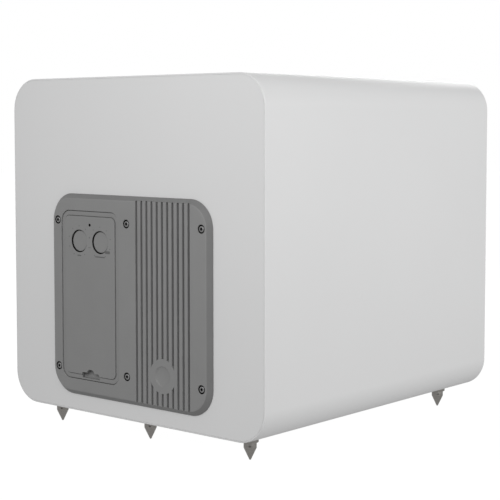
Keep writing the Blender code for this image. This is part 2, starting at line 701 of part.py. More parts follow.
def slide_switch(name, place, travel, rest_rise):
    """A slide switch: its body behind the plate, and the nub that comes through the slot."""
    case = back_block(back_area(place, 0.008, 0.018), BODY_FRONT, 0.0500)
    body = make(f"{name}_switch", case, "black_plastic")
    cavity = back_area(place, NUB_WIDTH + 0.0006, NUB_HEIGHT + travel + 0.0006)
    shape_by(body, f"{name}_cavity", back_block(cavity, 0.0400, 0.0480))
    nub = back_area(place, NUB_WIDTH, NUB_HEIGHT, 0.0005, rest_rise)
    x, z = behind(place[0], place[1] + rest_rise)
    slider = back_block(nub, NUB_FRONT, 0.0476, 2)
    make(f"{name}_slider", slider, "black_plastic", (x, inward(PLATE_FRONT), z))


def mains_inlet():
    """A three-pin mains inlet with a fuse drawer above its socket."""
    flange = back_block(back_area(INLET_PLACE, INLET_WIDTH, INLET_HEIGHT, 0.002), 0.0384, TUB_BACK, 3)
    inlet = make("mains_inlet", flange, "black_plastic")
    body = back_area(INLET_PLACE, INLET_WIDTH - 0.0030, INLET_HEIGHT - 0.0030)
    shape_by(inlet, "inlet_body", back_block(body, 0.0400, 0.0570), "UNION")
    half, corner, rise = 0.0123, 0.0050, 0.0082
    socket = [(-half, corner - rise), (corner - half, -rise), (half - corner, -rise), (half, corner - rise),
              (half, rise), (-half, rise)]
    centre = (INLET_PLACE[0], INLET_PLACE[1] - SOCKET_DROP)
    outline = [behind(centre[0] + across, centre[1] + up) for across, up in socket]
    shape_by(inlet, "inlet_socket", slab(outline, inward(0.0530), inward(0.0350)))
    slot = back_area(INLET_PLACE, 0.0240, 0.0076, rise=FUSE_RISE)
    shape_by(inlet, "fuse_slot", back_block(slot, 0.0350, 0.0530))
    pins = [
        back_block(back_area((centre[0] + across, centre[1] + up), 0.002, 0.004), 0.0438, 0.0540)
        for across, up in ((-0.007, 0.002), (0.007, 0.002), (0.0, -0.002))
    ]
    shape_by(inlet, "inlet_pins", together(pins), "UNION")
    drawer = back_area(INLET_PLACE, 0.0233, 0.0069, rise=FUSE_RISE)
    x, z = behind(INLET_PLACE[0], INLET_PLACE[1] + FUSE_RISE)
    make("fuse_drawer", back_block(drawer, 0.0380, 0.0524), "black_plastic", (x, inward(0.0380), z))


def power_switch():
    """A rocker switch: its frame, and the rocker, tipped to its off position."""
    flange = back_block(back_area(ROCKER_PLACE, 0.015, 0.021, 0.001), 0.0393, TUB_BACK, 2)
    frame = make("power_switch_frame", flange, "black_plastic")
    shape_by(frame, "switch_body", back_block(back_area(ROCKER_PLACE, 0.013, 0.019), 0.0400, 0.0570), "UNION")
    shape_by(frame, "switch_cavity", back_block(back_area(ROCKER_PLACE, 0.0110, 0.0160), 0.0370, 0.0500))
    x, z = behind(*ROCKER_PLACE)
    pivot = Vector((x, inward(0.0430), z))
    section = [(0.0034, -0.0070), (0.0024, 0.0), (0.0034, 0.0070), (0.0006, 0.0070), (-0.0040, 0.0025),
               (-0.0040, -0.0025), (0.0006, -0.0070)]
    rocker = make("power_rocker", moved(bar(section, -0.0052, 0.0052), *pivot), "black_plastic", pivot)
    rocker.rotation_euler.x = math.radians(-ROCKER_TILT)


# ---------------------------------------------------------------- amplifier, inside the cabinet
def amp_housing():
    """The folded steel tray that closes the amplifier off from the air in the cabinet."""
    front, inner = 0.0099, HOUSING.grown(-HOUSING_WALL).outline(3)
    outer = HOUSING.outline(3)
    sections = [
        (inner, inward(HOUSING_BACK - HOUSING_WALL)),
        (inner, inward(front)),
        (outer, inward(front)),
        (outer, inward(HOUSING_BACK)),
    ]
    tray = make("amp_housing", lofted(sections), "zinc_steel")
    tabs = [
        back_block(Area(-0.007, 0.007, SCREW_UP[1] - 0.007, HOUSING.high - 0.0005, 0.001), front, 0.0124),
        back_block(Area(-0.007, 0.007, HOUSING.low + 0.0005, SCREW_UP[0] + 0.007, 0.001), front, 0.0124),
    ]
    shape_by(tray, "housing_tabs", together(tabs), "UNION")
    bores = [at_back(hole(SCREW_SHANK + 0.0004, 0.008, 0.015, 12), 0.0, up) for up in SCREW_UP]
    bores.append(at_back(hole(0.0045, 0.068, 0.075), *LEAD_EXIT))
    shape_by(tray, "housing_bores", together(bores))


def amplifier():
    """The circuit board across the housing, with the mains transformer and the reservoir capacitors."""
    board = Area(-0.098, 0.098, -0.152, 0.038, 0.002)
    make("amp_circuit_board", back_block(board, BOARD_DEPTH, BOARD_DEPTH + 0.0016, 2), "circuit_green")
    profile = [(0.018, -0.018), (0.022, -0.014), (0.040, -0.014), (0.044, -0.018),
               (0.044, -0.044), (0.040, -0.048), (0.022, -0.048), (0.018, -0.044)]
    x, z = behind(*TRANSFORMER_PLACE)
    make("mains_transformer", at_back(turned(profile, 24), *TRANSFORMER_PLACE), "winding", (x, PANEL_Y, z))
    near, far, radius = -0.022, CLEARANCE - BOARD_DEPTH, CAPACITOR_RADIUS
    can = [(0.0, near), (radius - MM, near), (radius, near - MM), (radius, far), (0.0, far)]
    for name, across in zip(("left", "right"), CAPACITORS_ACROSS):
        x, z = behind(across, CAPACITOR_UP)
        body = at_back(turned(can, 20, closed=False), across, CAPACITOR_UP)
        make(f"reservoir_capacitor_{name}", body, "capacitor", (x, PANEL_Y, z))


def speaker_lead():
    """The lead from the amplifier to the driver's terminals, through a window of the brace."""
    x, z = behind(*LEAD_EXIT)
    route = [
        Vector((x, inward(0.0630), z)),
        Vector((x, inward(0.0800), z)),
        Vector((0.068, 0.108, CENTRE_Z - 0.046)),
        Vector((0.082, 0.055, CENTRE_Z - 0.066)),
        Vector((0.094, 0.000, CENTRE_Z - 0.070)),
        Vector((0.108, -0.055, CENTRE_Z - 0.050)),
        Vector((0.120, -0.098, CENTRE_Z - 0.018)),
        Vector((0.110, -0.120, CENTRE_Z)),
        Vector((0.0930, BAFFLE_Y + 0.083, CENTRE_Z)),
    ]
    points = smooth_route(route, 4)
    data = bpy.data.curves.new("speaker_lead", "CURVE")
    data.dimensions = "3D"
    data.bevel_depth = LEAD_RADIUS
    data.bevel_resolution = 2
    data.use_fill_caps = True
    spline = data.splines.new("POLY")
    spline.points.add(len(points) - 1)
    for spot, point in zip(spline.points, points):
        spot.co = (*point, 1.0)
    data.materials.append(finish("black_plastic"))
    lead = bpy.data.objects.new("speaker_lead", data)
    bpy.context.scene.collection.objects.link(lead)


def smooth_route(route, between):
    """Points along a smooth curve through those of a route."""
    padded = [2 * route[0] - route[1], *route, 2 * route[-1] - route[-2]]
    points = []
    for before, start, end, after in zip(padded, padded[1:], padded[2:], padded[3:]):
        for step in range(between):
            t = step / between
            points.append(
                0.5 * (2 * start + (end - before) * t + (2 * before - 5 * start + 4 * end - after) * t**2
                       + (3 * start - before - 3 * end + after) * t**3)
            )
    return [*points, route[-1]]


# ---------------------------------------------------------------- driver
def driver_piece(name, profile, finish_name, steps=DRIVER_STEPS, closed=True):
    """A piece of the driver, turned about its axis; distances are measured back from the baffle's face."""
    mesh = moved(turned(profile, steps, closed=closed), 0.0, BAFFLE_Y, CENTRE_Z)
    return make(name, mesh, finish_name, (0.0, BAFFLE_Y, CENTRE_Z))


def driver_frame():
    """The cast basket, its gasket and its terminals."""
    profile = [
        (0.139, 0.0030), (0.147, 0.0030), (0.147, 0.0005), (DRIVER_RADIUS, 0.0005),
        (DRIVER_RADIUS, 0.0050), (0.143, 0.0050), (0.143, 0.0140), (0.084, 0.0700),
        (0.084, 0.0920), (0.036, 0.0920), (0.036, 0.0885), (0.0805, 0.0885),
        (0.0805, 0.0730), (0.073, 0.0700), (0.073, 0.0670), (0.082, 0.0665), (0.139, 0.0130),
    ]
    basket = driver_piece("driver_basket", profile, "basket_black")
    windows = []
    spacing, gap = 360 / BASKET_WINDOWS, 44
    for index in range(BASKET_WINDOWS):
        window = bmesh.new()
        section = [window.verts.new((r, t, 0.0)) for r, t in rectangle((0.090, 0.020), (0.150, 0.058))]
        face = window.faces.new(section)
        turn = Matrix.Rotation(math.radians(spacing * index + (spacing - gap) / 2), 3, "Y")
        bmesh.ops.rotate(window, verts=window.verts, cent=(0, 0, 0), matrix=turn)
        bmesh.ops.spin(window, geom=[face, *face.verts, *face.edges], cent=(0, 0, 0), axis=(0, 1, 0),
                       angle=math.radians(gap), steps=5, use_duplicate=False)
        window.normal_update()
        bmesh.ops.recalc_face_normals(window, faces=window.faces)
        windows.append(moved(window, 0.0, BAFFLE_Y, CENTRE_Z))
    shape_by(basket, "basket_windows", together(windows))
    driver_piece("driver_gasket", rectangle((0.1441, 0.0053), (0.1530, 0.0067)), "foam")
    block = rectangle((0.0846, CENTRE_Z - 0.009), (0.0922, CENTRE_Z + 0.009))
    make("driver_terminal", slab(block, BAFFLE_Y + 0.076, BAFFLE_Y + 0.090), "black_plastic")


def driver_motor():
    """The magnet between its two steel plates."""
    driver_piece("top_plate", rectangle((0.0282, 0.0923), (0.0700, 0.1003)), "zinc_steel", 24)
    driver_piece("ring_magnet", rectangle((0.0370, 0.1006), (0.0780, 0.1326)), "ferrite", 24)
    yoke = [(0.008, 0.0910), (0.0244, 0.0910), (0.0244, 0.1329),
            (0.0720, 0.1329), (0.0720, 0.1409), (0.008, 0.1409)]
    driver_piece("yoke", yoke, "zinc_steel", 24)


def cone_line(t, offset=0.0):
    """A point on the cone, from its neck at 0 to its rim at 1."""
    radius = CONE_NECK + (CONE_RADIUS - CONE_NECK) * t
    return (radius, 0.052 - 0.0465 * t**0.85 + offset)


def driver_cone():
    """The cone, its dust cap and voice coil, and the surround and spider that let it move."""
    steps = 4
    front = [cone_line(step / steps) for step in range(steps + 1)]
    back = [cone_line(step / steps, 0.0016) for step in range(steps + 1)]
    driver_piece("cone", front + back[::-1], "cone_paper")
    cap_radius, rim, height, thick = 0.052, 0.0342, 0.015, 0.0012
    dome = [
        (cap_radius * math.sin(math.radians(22.5 * step)), rim - height * math.cos(math.radians(22.5 * step)))
        for step in range(5)
    ]
    inside = [(0.97 * r, t + thick) for r, t in dome[::-1]]
    driver_piece("dust_cap", dome + inside, "cone_paper", 24, closed=False)
    former_in, former, wound = COIL_RADIUS - MM, COIL_RADIUS, COIL_RADIUS + 0.0012
    coil = [(former_in, 0.046), (former, 0.046), (former, 0.086), (wound, 0.086), (wound, 0.104),
            (former_in, 0.104)]
    driver_piece("voice_coil", coil, "winding", 24)
    level, thick, middle = 0.0027, 0.0010, CONE_RADIUS + 0.0110
    land_in, land_out = CONE_RADIUS - 0.004, 0.1465
    outer = [(middle - r, level - thick - h) for r, h in half_roll(ROLL_RADIUS)]
    inner = [(middle - r, level - h) for r, h in half_roll(ROLL_RADIUS - thick)]
    ring = [(land_in, level - thick), *outer, (land_out, level - thick), (land_out, level), *inner[::-1],
            (land_in, level)]
    driver_piece("surround", ring, "surround_rubber")
    waves, steps = 3, 12
    wave = [
        (COIL_RADIUS + 0.0004 + (0.0720 - COIL_RADIUS) * i / steps,
         0.0650 + 0.0016 * math.sin(2 * math.pi * waves * i / steps))
        for i in range(steps + 1)
    ]
    sheet = wave + [(r, t + 0.0009) for r, t in wave[::-1]]
    driver_piece("spider", sheet, "spider_cloth", 24)


def half_roll(radius):
    """Points over a half circle, from its inner foot to its outer one."""
    return [(radius * math.cos(math.radians(30 * step)), radius * math.sin(math.radians(30 * step)))
            for step in range(7)]


# ---------------------------------------------------------------- grille
def grille_peg_places():
    return [(side * PEG_ACROSS, CENTRE_Z + rise * PEG_UP) for side in (-1, 1) for rise in (-1, 1)]


def grille():
    """The cloth-covered frame that plugs into the front."""
    front = FRONT_Y + MM
    frame_front, frame_back = front + CLOTH + CLEARANCE, front + GRILLE_BACK
    outline = cabinet_outline(FRONT_LIP + GRILLE_GAP + CLOTH + CLEARANCE)
    frame = make("grille_frame", slab(outline, frame_front, frame_back), "black_board")
    opening = turned(rectangle((0.0, -0.03), (FRAME_OPENING, 0.03)), DRIVER_STEPS)
    shape_by(frame, "frame_opening", moved(opening, 0.0, frame_front, CENTRE_Z))
    seat, far = BAFFLE_Y - CLEARANCE, BAFFLE_Y + 0.0095
    peg = [(0.0, frame_back - 0.005), (0.0090, frame_back - 0.005), (0.0090, seat), (PEG_RADIUS, seat),
           (PEG_RADIUS, far - MM), (0.0, far)]
    pegs = [moved(turned(peg, 16, closed=False), x, 0.0, z) for x, z in grille_peg_places()]
    shape_by(frame, "frame_pegs", together(pegs), "UNION")
    edge = cabinet_outline(FRONT_LIP + GRILLE_GAP)
    drawn = cabinet_outline(FRONT_LIP + GRILLE_GAP + CLOTH / 2)
    sections = [(edge, front + CLOTH), (edge, front + CLOTH / 2), (drawn, front)]
    make("grille_cloth", lofted(sections), "grille_cloth")


cabinet_wrap()
rear_panel()
front_baffle()
window_brace()
damping_wadding()
spikes()
amp_panel()
screws()
panel_gasket()
terminal_cover()
control("level", LEVEL_ACROSS)
control("crossover", CROSSOVER_ACROSS)
status_lamp()
socket_plate()
phono_sockets()
slide_switch("phase", PHASE_PLACE, PHASE_THROW, PHASE_THROW / 2)
slide_switch("power_mode", MODE_PLACE, 2 * MODE_THROW, 0.0)
mains_inlet()
power_switch()
amp_housing()
amplifier()
speaker_lead()
driver_frame()
driver_motor()
driver_cone()
grille()
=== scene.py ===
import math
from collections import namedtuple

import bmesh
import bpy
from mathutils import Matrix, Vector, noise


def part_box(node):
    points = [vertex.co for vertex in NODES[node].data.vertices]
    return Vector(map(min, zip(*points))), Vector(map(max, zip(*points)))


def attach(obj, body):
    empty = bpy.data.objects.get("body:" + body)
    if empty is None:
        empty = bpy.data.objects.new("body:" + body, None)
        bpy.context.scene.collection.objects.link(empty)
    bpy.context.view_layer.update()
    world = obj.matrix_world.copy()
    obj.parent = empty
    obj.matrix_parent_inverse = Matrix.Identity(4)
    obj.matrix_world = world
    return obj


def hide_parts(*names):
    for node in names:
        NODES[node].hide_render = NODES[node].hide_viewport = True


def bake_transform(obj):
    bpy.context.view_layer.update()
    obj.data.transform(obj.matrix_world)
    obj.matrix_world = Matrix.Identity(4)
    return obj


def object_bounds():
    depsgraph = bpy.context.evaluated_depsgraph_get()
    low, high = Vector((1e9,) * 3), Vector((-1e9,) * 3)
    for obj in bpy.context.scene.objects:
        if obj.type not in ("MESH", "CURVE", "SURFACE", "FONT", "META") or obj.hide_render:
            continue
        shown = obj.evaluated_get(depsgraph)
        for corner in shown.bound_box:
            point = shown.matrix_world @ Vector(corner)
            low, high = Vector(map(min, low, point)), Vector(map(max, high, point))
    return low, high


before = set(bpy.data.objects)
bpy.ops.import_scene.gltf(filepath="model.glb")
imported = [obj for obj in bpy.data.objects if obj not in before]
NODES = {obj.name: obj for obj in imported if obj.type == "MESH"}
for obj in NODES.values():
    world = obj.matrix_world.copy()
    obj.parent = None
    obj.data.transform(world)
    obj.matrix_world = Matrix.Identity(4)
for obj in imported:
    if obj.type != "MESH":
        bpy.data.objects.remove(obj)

# The looks of an active subwoofer: fine meshes for what shows, and a procedural finish for every piece.
#
# Metres, +Z up. The driver and its grille face -Y, and the amplifier panel faces +Y. Pieces are placed by the
# frame's boxes. Places on the back are seen from behind: across to the right, which is -X, and up from the
# cabinet's centre, with depths measured inwards from the amplifier panel's face.

CAD_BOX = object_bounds()
MM = 0.001
GAP = 0.3 * MM           # what CAD leaves between pieces that touch
SLACK = 0.3 * MM         # allowed when telling where a face is

# ---------------------------------------------------------------- what the frame gives
WRAP_LOW, WRAP_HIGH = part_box("cabinet_wrap")
WIDTH, HEIGHT = WRAP_HIGH.x - WRAP_LOW.x, WRAP_HIGH.z - WRAP_LOW.z
FRONT_Y, REAR_Y = WRAP_LOW.y, WRAP_HIGH.y
CENTRE_Z = (WRAP_LOW.z + WRAP_HIGH.z) / 2
PANEL_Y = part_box("amp_panel")[1].y
BAFFLE_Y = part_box("front_baffle")[0].y - GAP
FLOOR_Z = CAD_BOX[0].z

# ---------------------------------------------------------------- details smaller than the frame's boxes
CORNER_RADIUS, CORNER_STEPS = 0.037, 24
WALL, REAR_BOARD, BAFFLE = 0.018, 0.018, 0.025
REAR_LIP, REAR_SEAM, SEAM_DEPTH, FRONT_LIP, ARRIS = 0.0018, 0.00018, 0.0004, 0.006, 0.0012
REBATE_WIDE, REBATE_DEEP, WADDING = 3.2 * MM, 1.6 * MM, 0.022
PANEL_CHAMFER, PANEL_BACK, SLAB_BACK = 0.0054, 0.0057, 0.0095
COVER_LEDGE, TUB_BACK, TUB_WALL = 0.0036, 0.041, 0.003
UPPER_FLOOR, UPPER_BACK = 0.012, 0.015
POCKET_LOW, RAMP_FOOT, LOWER_TOP = -0.1425, -0.1180, -0.0100
GROOVE_FIRST, GROOVE_PITCH, GROOVE_COUNT = 0.0162, 0.00802, 11
GROOVE_HALF, GROOVE_LIP, GROOVE_FLOOR, GROOVE_DEPTH = 0.00145, 0.0009, 0.0011, 0.0042
GROOVE_TOP, GROOVE_BOTTOM = 0.0568, -0.1714
DISC_RADIUS, DISC_DISH, DISC_PLACE = 0.0196, 0.0105, (0.0567, -0.1373)
SCREW_SINK, SCREW_HEAD, SCREW_SHANK = 0.0049, 0.0035, 0.0019
KNOB_HOLE, KNOB_GAP, KNOB_FACE, SPINDLE_RADIUS, SPINDLE_BORE = 0.0129, 0.0009, 0.0016, 0.0030, 0.0042
COVER_PEG, COVER_PEG_HOLE = 0.0018, 0.0022
LED_PLACE, LED_RADIUS = (-0.0604, 0.0255), 0.0014
NOTCH_LEFT, NOTCH_RIGHT, NOTCH_LOW, NOTCH_SHOULDER, NOTCH_HUMP = -0.0751, -0.0455, -0.1541, -0.1475, 0.0060
STUD_RADIUS, SPIKE_CONE, SPIKE_SHOULDER = 0.0039, 0.0135, 0.0195
FEET = [f"{row}_{column}" for row in ("rear", "front") for column in ("left", "middle", "right")]
CONE_RADIUS, CONE_NECK, COIL_RADIUS, ROLL_RADIUS = 0.117, 0.0267, 0.0262, 0.0100
DRIVER_HOLE, DRIVER_REBATE, BOLT_CIRCLE = 0.1436, 0.007, 0.1504
GRILLE_GAP, GRILLE_HOLE, GRILLE_MOUTH, CLOTH = 0.0010, 0.158, 0.164, 0.0008
PEG_ACROSS, PEG_RISE, PEG_RADIUS, PEG_HOLE, PEG_COLLAR = 0.168, 0.164, 0.0038, 0.0042, 0.0090


class Area(namedtuple("Area", "left right low high radius")):
    """A round-cornered rectangle on the back, as seen from behind."""

    def grown(self, by):
        radius = max(self.radius + by, MM / 2)
        return Area(self.left - by, self.right + by, self.low - by, self.high + by, radius)

    def beyond(self, across, up):
        """How far a place is outside the outline; inside it, this is negative."""
        run = abs(across - (self.left + self.right) / 2) - (self.right - self.left) / 2 + self.radius
        rise = abs(up - (self.low + self.high) / 2) - (self.high - self.low) / 2 + self.radius
        return math.hypot(max(run, 0.0), max(rise, 0.0)) + min(max(run, rise), 0.0) - self.radius

    def outline(self, steps=6):
        centre = behind((self.left + self.right) / 2, (self.low + self.high) / 2)
        return rounded(self.right - self.left, self.high - self.low, self.radius, steps, centre)


PANEL = Area(-0.1275, 0.1275, -0.1764, 0.0611, 0.032)
CUTOUT = Area(-0.1095, 0.1095, -0.1630, 0.0480, 0.010)
SLAB = Area(-0.1088, 0.1088, -0.1622, 0.0472, 0.009)
COVER_RECESS = Area(-0.1085, -0.0124, -0.1568, 0.0417, 0.013)
UPPER_POCKET = Area(-0.1005, -0.0204, -0.0160, 0.0337, 0.006)


def behind(across, up):
    """X and Z of a place on the back."""
    return (-across, CENTRE_Z + up)


def inward(depth):
    """Y at a depth behind the amplifier panel's face."""
    return PANEL_Y - depth


def place_of(node):
    """The middle of a node's box."""
    low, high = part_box(node)
    return (low + high) / 2


def on_back(node):
    """Where a node's middle is on the back: across and up."""
    middle = place_of(node)
    return (-middle.x, middle.z - CENTRE_Z)


# ---------------------------------------------------------------- outlines and profiles
def rounded(width, height, radius, steps, centre=(0.0, 0.0)):
    """A rectangle with round corners, as points in the plane, anticlockwise."""
    points = []
    for corner, (side, rise) in enumerate(((1, 1), (-1, 1), (-1, -1), (1, -1))):
        middle = (centre[0] + side * (width / 2 - radius), centre[1] + rise * (height / 2 - radius))
        for step in range(steps + 1):
            angle = math.radians(90 * (corner + step / steps))
            points.append((middle[0] + radius * math.cos(angle), middle[1] + radius * math.sin(angle)))
    return points


def cabinet_outline(inset, steps=CORNER_STEPS):
    """The cabinet's section, drawn in by some distance."""
    return rounded(WIDTH - 2 * inset, HEIGHT - 2 * inset, CORNER_RADIUS - inset, steps, (0.0, CENTRE_Z))


def softened(profile, radius, steps=3):
    """An open profile of points with each corner between its ends rounded off."""
    points = [Vector(profile[0])]
    for before, corner, after in zip(profile, profile[1:], profile[2:]):
        corner, back, on = Vector(corner), Vector(before) - Vector(corner), Vector(after) - Vector(corner)
        reach = min(radius, 0.45 * back.length, 0.45 * on.length)
        start, end = corner + back.normalized() * reach, corner + on.normalized() * reach
        for step in range(steps + 1):
            t = step / steps
            points.append((1 - t) ** 2 * start + 2 * t * (1 - t) * corner + t**2 * end)
    return [tuple(point) for point in (*points, Vector(profile[-1]))]


def rectangle(low, high):
    """A plain rectangle between two corners."""
    return [low, (high[0], low[1]), high, (low[0], high[1])]


# ---------------------------------------------------------------- meshes
def lofted(sections, closed=False):
    """A solid through outlines of (x, z) points, each at its y. Closed joins the last one to the first."""
    mesh = bmesh.new()
    rings = [[mesh.verts.new((x, y, z)) for x, z in outline] for outline, y in sections]
    following = rings[1:] + rings[:1] if closed else rings[1:]
    for ring, beyond in zip(rings, following):
        for i in range(len(ring)):
            j = (i + 1) % len(ring)
            mesh.faces.new((ring[i], ring[j], beyond[j], beyond[i]))
    if not closed:
        mesh.faces.new(rings[0])
        mesh.faces.new(rings[-1])
    bmesh.ops.recalc_face_normals(mesh, faces=mesh.faces)
    return mesh


def slab(outline, near, far):
    """An outline of (x, z) points given thickness along Y."""
    return lofted([(outline, near), (outline, far)])


def bar(points, near, far):
    """An outline of (y, z) points given thickness along X."""
    mesh = slab([(y, z) for y, z in points], near, far)
    for vertex in mesh.verts:
        x, y, z = vertex.co
        vertex.co = (y, x, z)
    mesh.normal_update()
    bmesh.ops.recalc_face_normals(mesh, faces=mesh.faces)
    return mesh


def turned(profile, steps=48, upright=False, closed=False):
    """A solid turned about Y, or about Z if upright, from points of (radius, distance along the axis)."""
    mesh = bmesh.new()
    rings = []
    for radius, along in profile:
        ring = []
        for step in range(steps if radius > 0 else 1):
            angle = 2 * math.pi * step / steps
            across, up = radius * math.cos(angle), radius * math.sin(angle)
            ring.append(mesh.verts.new((across, up, along) if upright else (across, along, up)))
        rings.append(ring)
    following = rings[1:] + rings[:1] if closed else rings[1:]
    for ring, beyond in zip(rings, following):
        for i in range(steps):
            j = (i + 1) % steps
            corners = [ring[i % len(ring)], ring[j % len(ring)]]
            corners += [beyond[j % len(beyond)], beyond[i % len(beyond)]]
            corners = list(dict.fromkeys(corners))
            if len(corners) > 2:
                mesh.faces.new(corners)
    bmesh.ops.recalc_face_normals(mesh, faces=mesh.faces)
    return mesh


def moved(mesh, x=0.0, y=0.0, z=0.0):
    bmesh.ops.translate(mesh, verts=mesh.verts, vec=Vector((x, y, z)))
    return mesh


def at_back(mesh, across, up):
    """A mesh made about the origin, put at a place on the back with its zero at the panel's face."""
    x, z = behind(across, up)
    return moved(mesh, x, PANEL_Y, z)


def rod(radius, shallow, deep, steps=24):
    """A plain rod along Y between two depths, to cut a hole or add a peg."""
    return turned([(0.0, -shallow), (radius, -shallow), (radius, -deep), (0.0, -deep)], steps)


def together(meshes):
    """Several meshes as one, left as separate bodies."""
    whole = bmesh.new()
    for mesh in meshes:
        data = bpy.data.meshes.new("part")
        mesh.to_mesh(data)
        whole.from_mesh(data)
        bpy.data.meshes.remove(data)
        mesh.free()
    return whole


def scratch(mesh):
    """A passing object that holds a mesh while it is shaped."""
    data = bpy.data.meshes.new("scratch")
    mesh.to_mesh(data)
    mesh.free()
    made = bpy.data.objects.new("scratch", data)
    bpy.context.scene.collection.objects.link(made)
    return made


def shaped(mesh, *tools, operation="DIFFERENCE"):
    """The mesh with the tools cut from it, or joined to it."""
    passing = [scratch(mesh), *(scratch(tool) for tool in tools)]
    for tool in passing[1:]:
        modifier = passing[0].modifiers.new("shape", "BOOLEAN")
        modifier.operation = operation
        modifier.solver = "EXACT"
        modifier.object = tool
    made = bmesh.new()
    made.from_object(passing[0], bpy.context.evaluated_depsgraph_get())
    for spent in passing:
        data = spent.data
        bpy.data.objects.remove(spent)
        bpy.data.meshes.remove(data)
    return made


# ---------------------------------------------------------------- pieces
def piece(name, mesh, body, finish, replaces=None, sharp=32):
    """An object from a mesh in the frame's coordinates, riding on a body."""
    data = bpy.data.meshes.new(name)
    mesh.to_mesh(data)
    mesh.free()
    data.shade_smooth()
    data.set_sharp_from_angle(angle=math.radians(sharp))
    data.materials.append(finish)
    made = bpy.data.objects.new(name, data)
    bpy.context.scene.collection.objects.link(made)
    if body:
        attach(made, body)
    if replaces:
        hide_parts(replaces)
    return made


def lined(made, finish, reached):
    """Gives the faces whose middles pass a test another finish."""
    made.data.materials.append(finish)
    for face in made.data.polygons:
        if reached(face.center):
            face.material_index = len(made.data.materials) - 1


def sunk(wells, depth):
    """A test for points on the back that are deep in one of some wells, each a place and a radius; the faces
    it picks take painted shade.
    """
    def test(point):
        if PANEL_Y - point.y <= depth:
            return False
        across, up = -point.x, point.z - CENTRE_Z
        return any(math.hypot(across - place[0], up - place[1]) < radius for place, radius in wells)
    return test


def dress(finish, *names):
    """Gives CAD nodes a finish."""
    for name in names:
        data = NODES[name].data
        data.materials.clear()
        data.materials.append(finish)


# ---------------------------------------------------------------- finishes
def shader_of(name, **sockets):
    """A new material with its uniform values set, and its shader."""
    material = bpy.data.materials.new(name)
    material.use_nodes = True
    shader = material.node_tree.nodes["Principled BSDF"]
    for socket, value in sockets.items():
        shader.inputs[socket.replace("_", " ")].default_value = value
    return material, shader


def node_of(tree, kind, **inputs):
    """A new shader node with its inputs set, or linked where an output is given."""
    node = tree.nodes.new(f"ShaderNode{kind}")
    for name, value in inputs.items():
        socket = node.inputs[name.replace("_", " ")]
        if isinstance(value, bpy.types.NodeSocket):
            tree.links.new(value, socket)
        else:
            socket.default_value = value
    return node


def lay_of(tree, stretch):
    """Object coordinates, stretched."""
    coordinates = node_of(tree, "TexCoord").outputs["Object"]
    return node_of(tree, "Mapping", Vector=coordinates, Scale=stretch).outputs["Vector"]


def noise_of(tree, lay, scale, detail=3.0, roughness=0.55):
    texture = node_of(tree, "TexNoise", Vector=lay, Scale=scale, Detail=detail, Roughness=roughness)
    return texture.outputs["Fac"]


def ramp_of(tree, value, dark, light, low=0.3, high=0.7):
    """A colour between two, as a value goes from low to high."""
    ramp = node_of(tree, "ValToRGB", Fac=value)
    for stop, position, colour in zip(ramp.color_ramp.elements, (low, high), (dark, light)):
        stop.position = position
        stop.color = (*colour, 1.0)
    return ramp.outputs["Color"]


def range_of(tree, value, low, high):
    """A number between two, as a value goes over a noise's usual range."""
    spread = node_of(tree, "MapRange", Value=value, From_Min=0.3, From_Max=0.7, To_Min=low, To_Max=high)
    return spread.outputs["Result"]


def bump_of(tree, height, strength, distance):
    return node_of(tree, "Bump", Height=height, Strength=strength, Distance=distance).outputs["Normal"]


def shade(colour, share):
    return tuple(min(1.0, part * share) for part in colour)


def surface(name, colour, roughness, metallic=0.0, grain=1500.0, relief=0.1, depth=0.1 * MM, mottle=14.0,
            vary=0.03, uneven=0.04, stretch=(1.0, 1.0, 1.0), **sockets):
    """A finish with broad colour variation, uneven gloss and a fine relief."""
    material, shader = shader_of(name, Roughness=roughness, Metallic=metallic, **sockets)
    tree = material.node_tree
    lay = lay_of(tree, stretch)
    broad = noise_of(tree, lay, mottle, 4.0)
    colours = ramp_of(tree, broad, shade(colour, 1 - vary), shade(colour, 1 + vary))
    tree.links.new(colours, shader.inputs["Base Color"])
    fine = noise_of(tree, lay, grain)
    gloss = range_of(tree, fine, roughness - uneven, roughness + uneven)
    tree.links.new(gloss, shader.inputs["Roughness"])
    tree.links.new(bump_of(tree, fine, relief, depth), shader.inputs["Normal"])
    return material


def woven(name, dark, light, thread, relief=0.6, roughness=0.9, **sockets):
    """A plain weave of threads across X and Z, with slubs."""
    material, shader = shader_of(name, Roughness=roughness, **sockets)
    tree = material.node_tree
    lay = lay_of(tree, (1.0, 1.0, 1.0))
    period = 2 * math.pi / 20
    bands = []
    for direction in ("X", "Z"):
        wave = node_of(tree, "TexWave", Vector=lay, Scale=period / thread, Distortion=0.35, Detail_Scale=2.0)
        wave.bands_direction = direction
        bands.append(wave.outputs["Fac"])
    crossing = node_of(tree, "Math")
    crossing.operation = "MULTIPLY"
    tree.links.new(bands[0], crossing.inputs[0])
    tree.links.new(bands[1], crossing.inputs[1])
    slub = noise_of(tree, lay, 60.0, 5.0)
    height = node_of(tree, "Math")
    height.operation = "MULTIPLY_ADD"
    height.inputs[1].default_value = 0.35
    tree.links.new(slub, height.inputs[0])
    tree.links.new(crossing.outputs["Value"], height.inputs[2])
    colours = ramp_of(tree, height.outputs["Value"], dark, light, 0.1, 0.95)
    tree.links.new(colours, shader.inputs["Base Color"])
    normal = bump_of(tree, height.outputs["Value"], relief, thread * 0.4)
    tree.links.new(normal, shader.inputs["Normal"])
    return material


def lacquer():
    """Satin white lacquer with the faintest orange peel."""
    return surface("lacquer", (0.735, 0.736, 0.737), 0.42, grain=420.0, relief=0.05, depth=0.05 * MM,
                   mottle=5.0, vary=0.008, uneven=0.03, Specular_IOR_Level=0.28)


def powder_coat(name, level):
    """Grey powder coat with a fine sandy relief, on the cast panel; a darker copy of it is painted shade on
    the panel's chamfer.
    """
    return surface(name, (level, level, 0.996 * level), 0.54, grain=1700.0, relief=0.28, depth=0.12 * MM,
                   mottle=22.0, uneven=0.06)


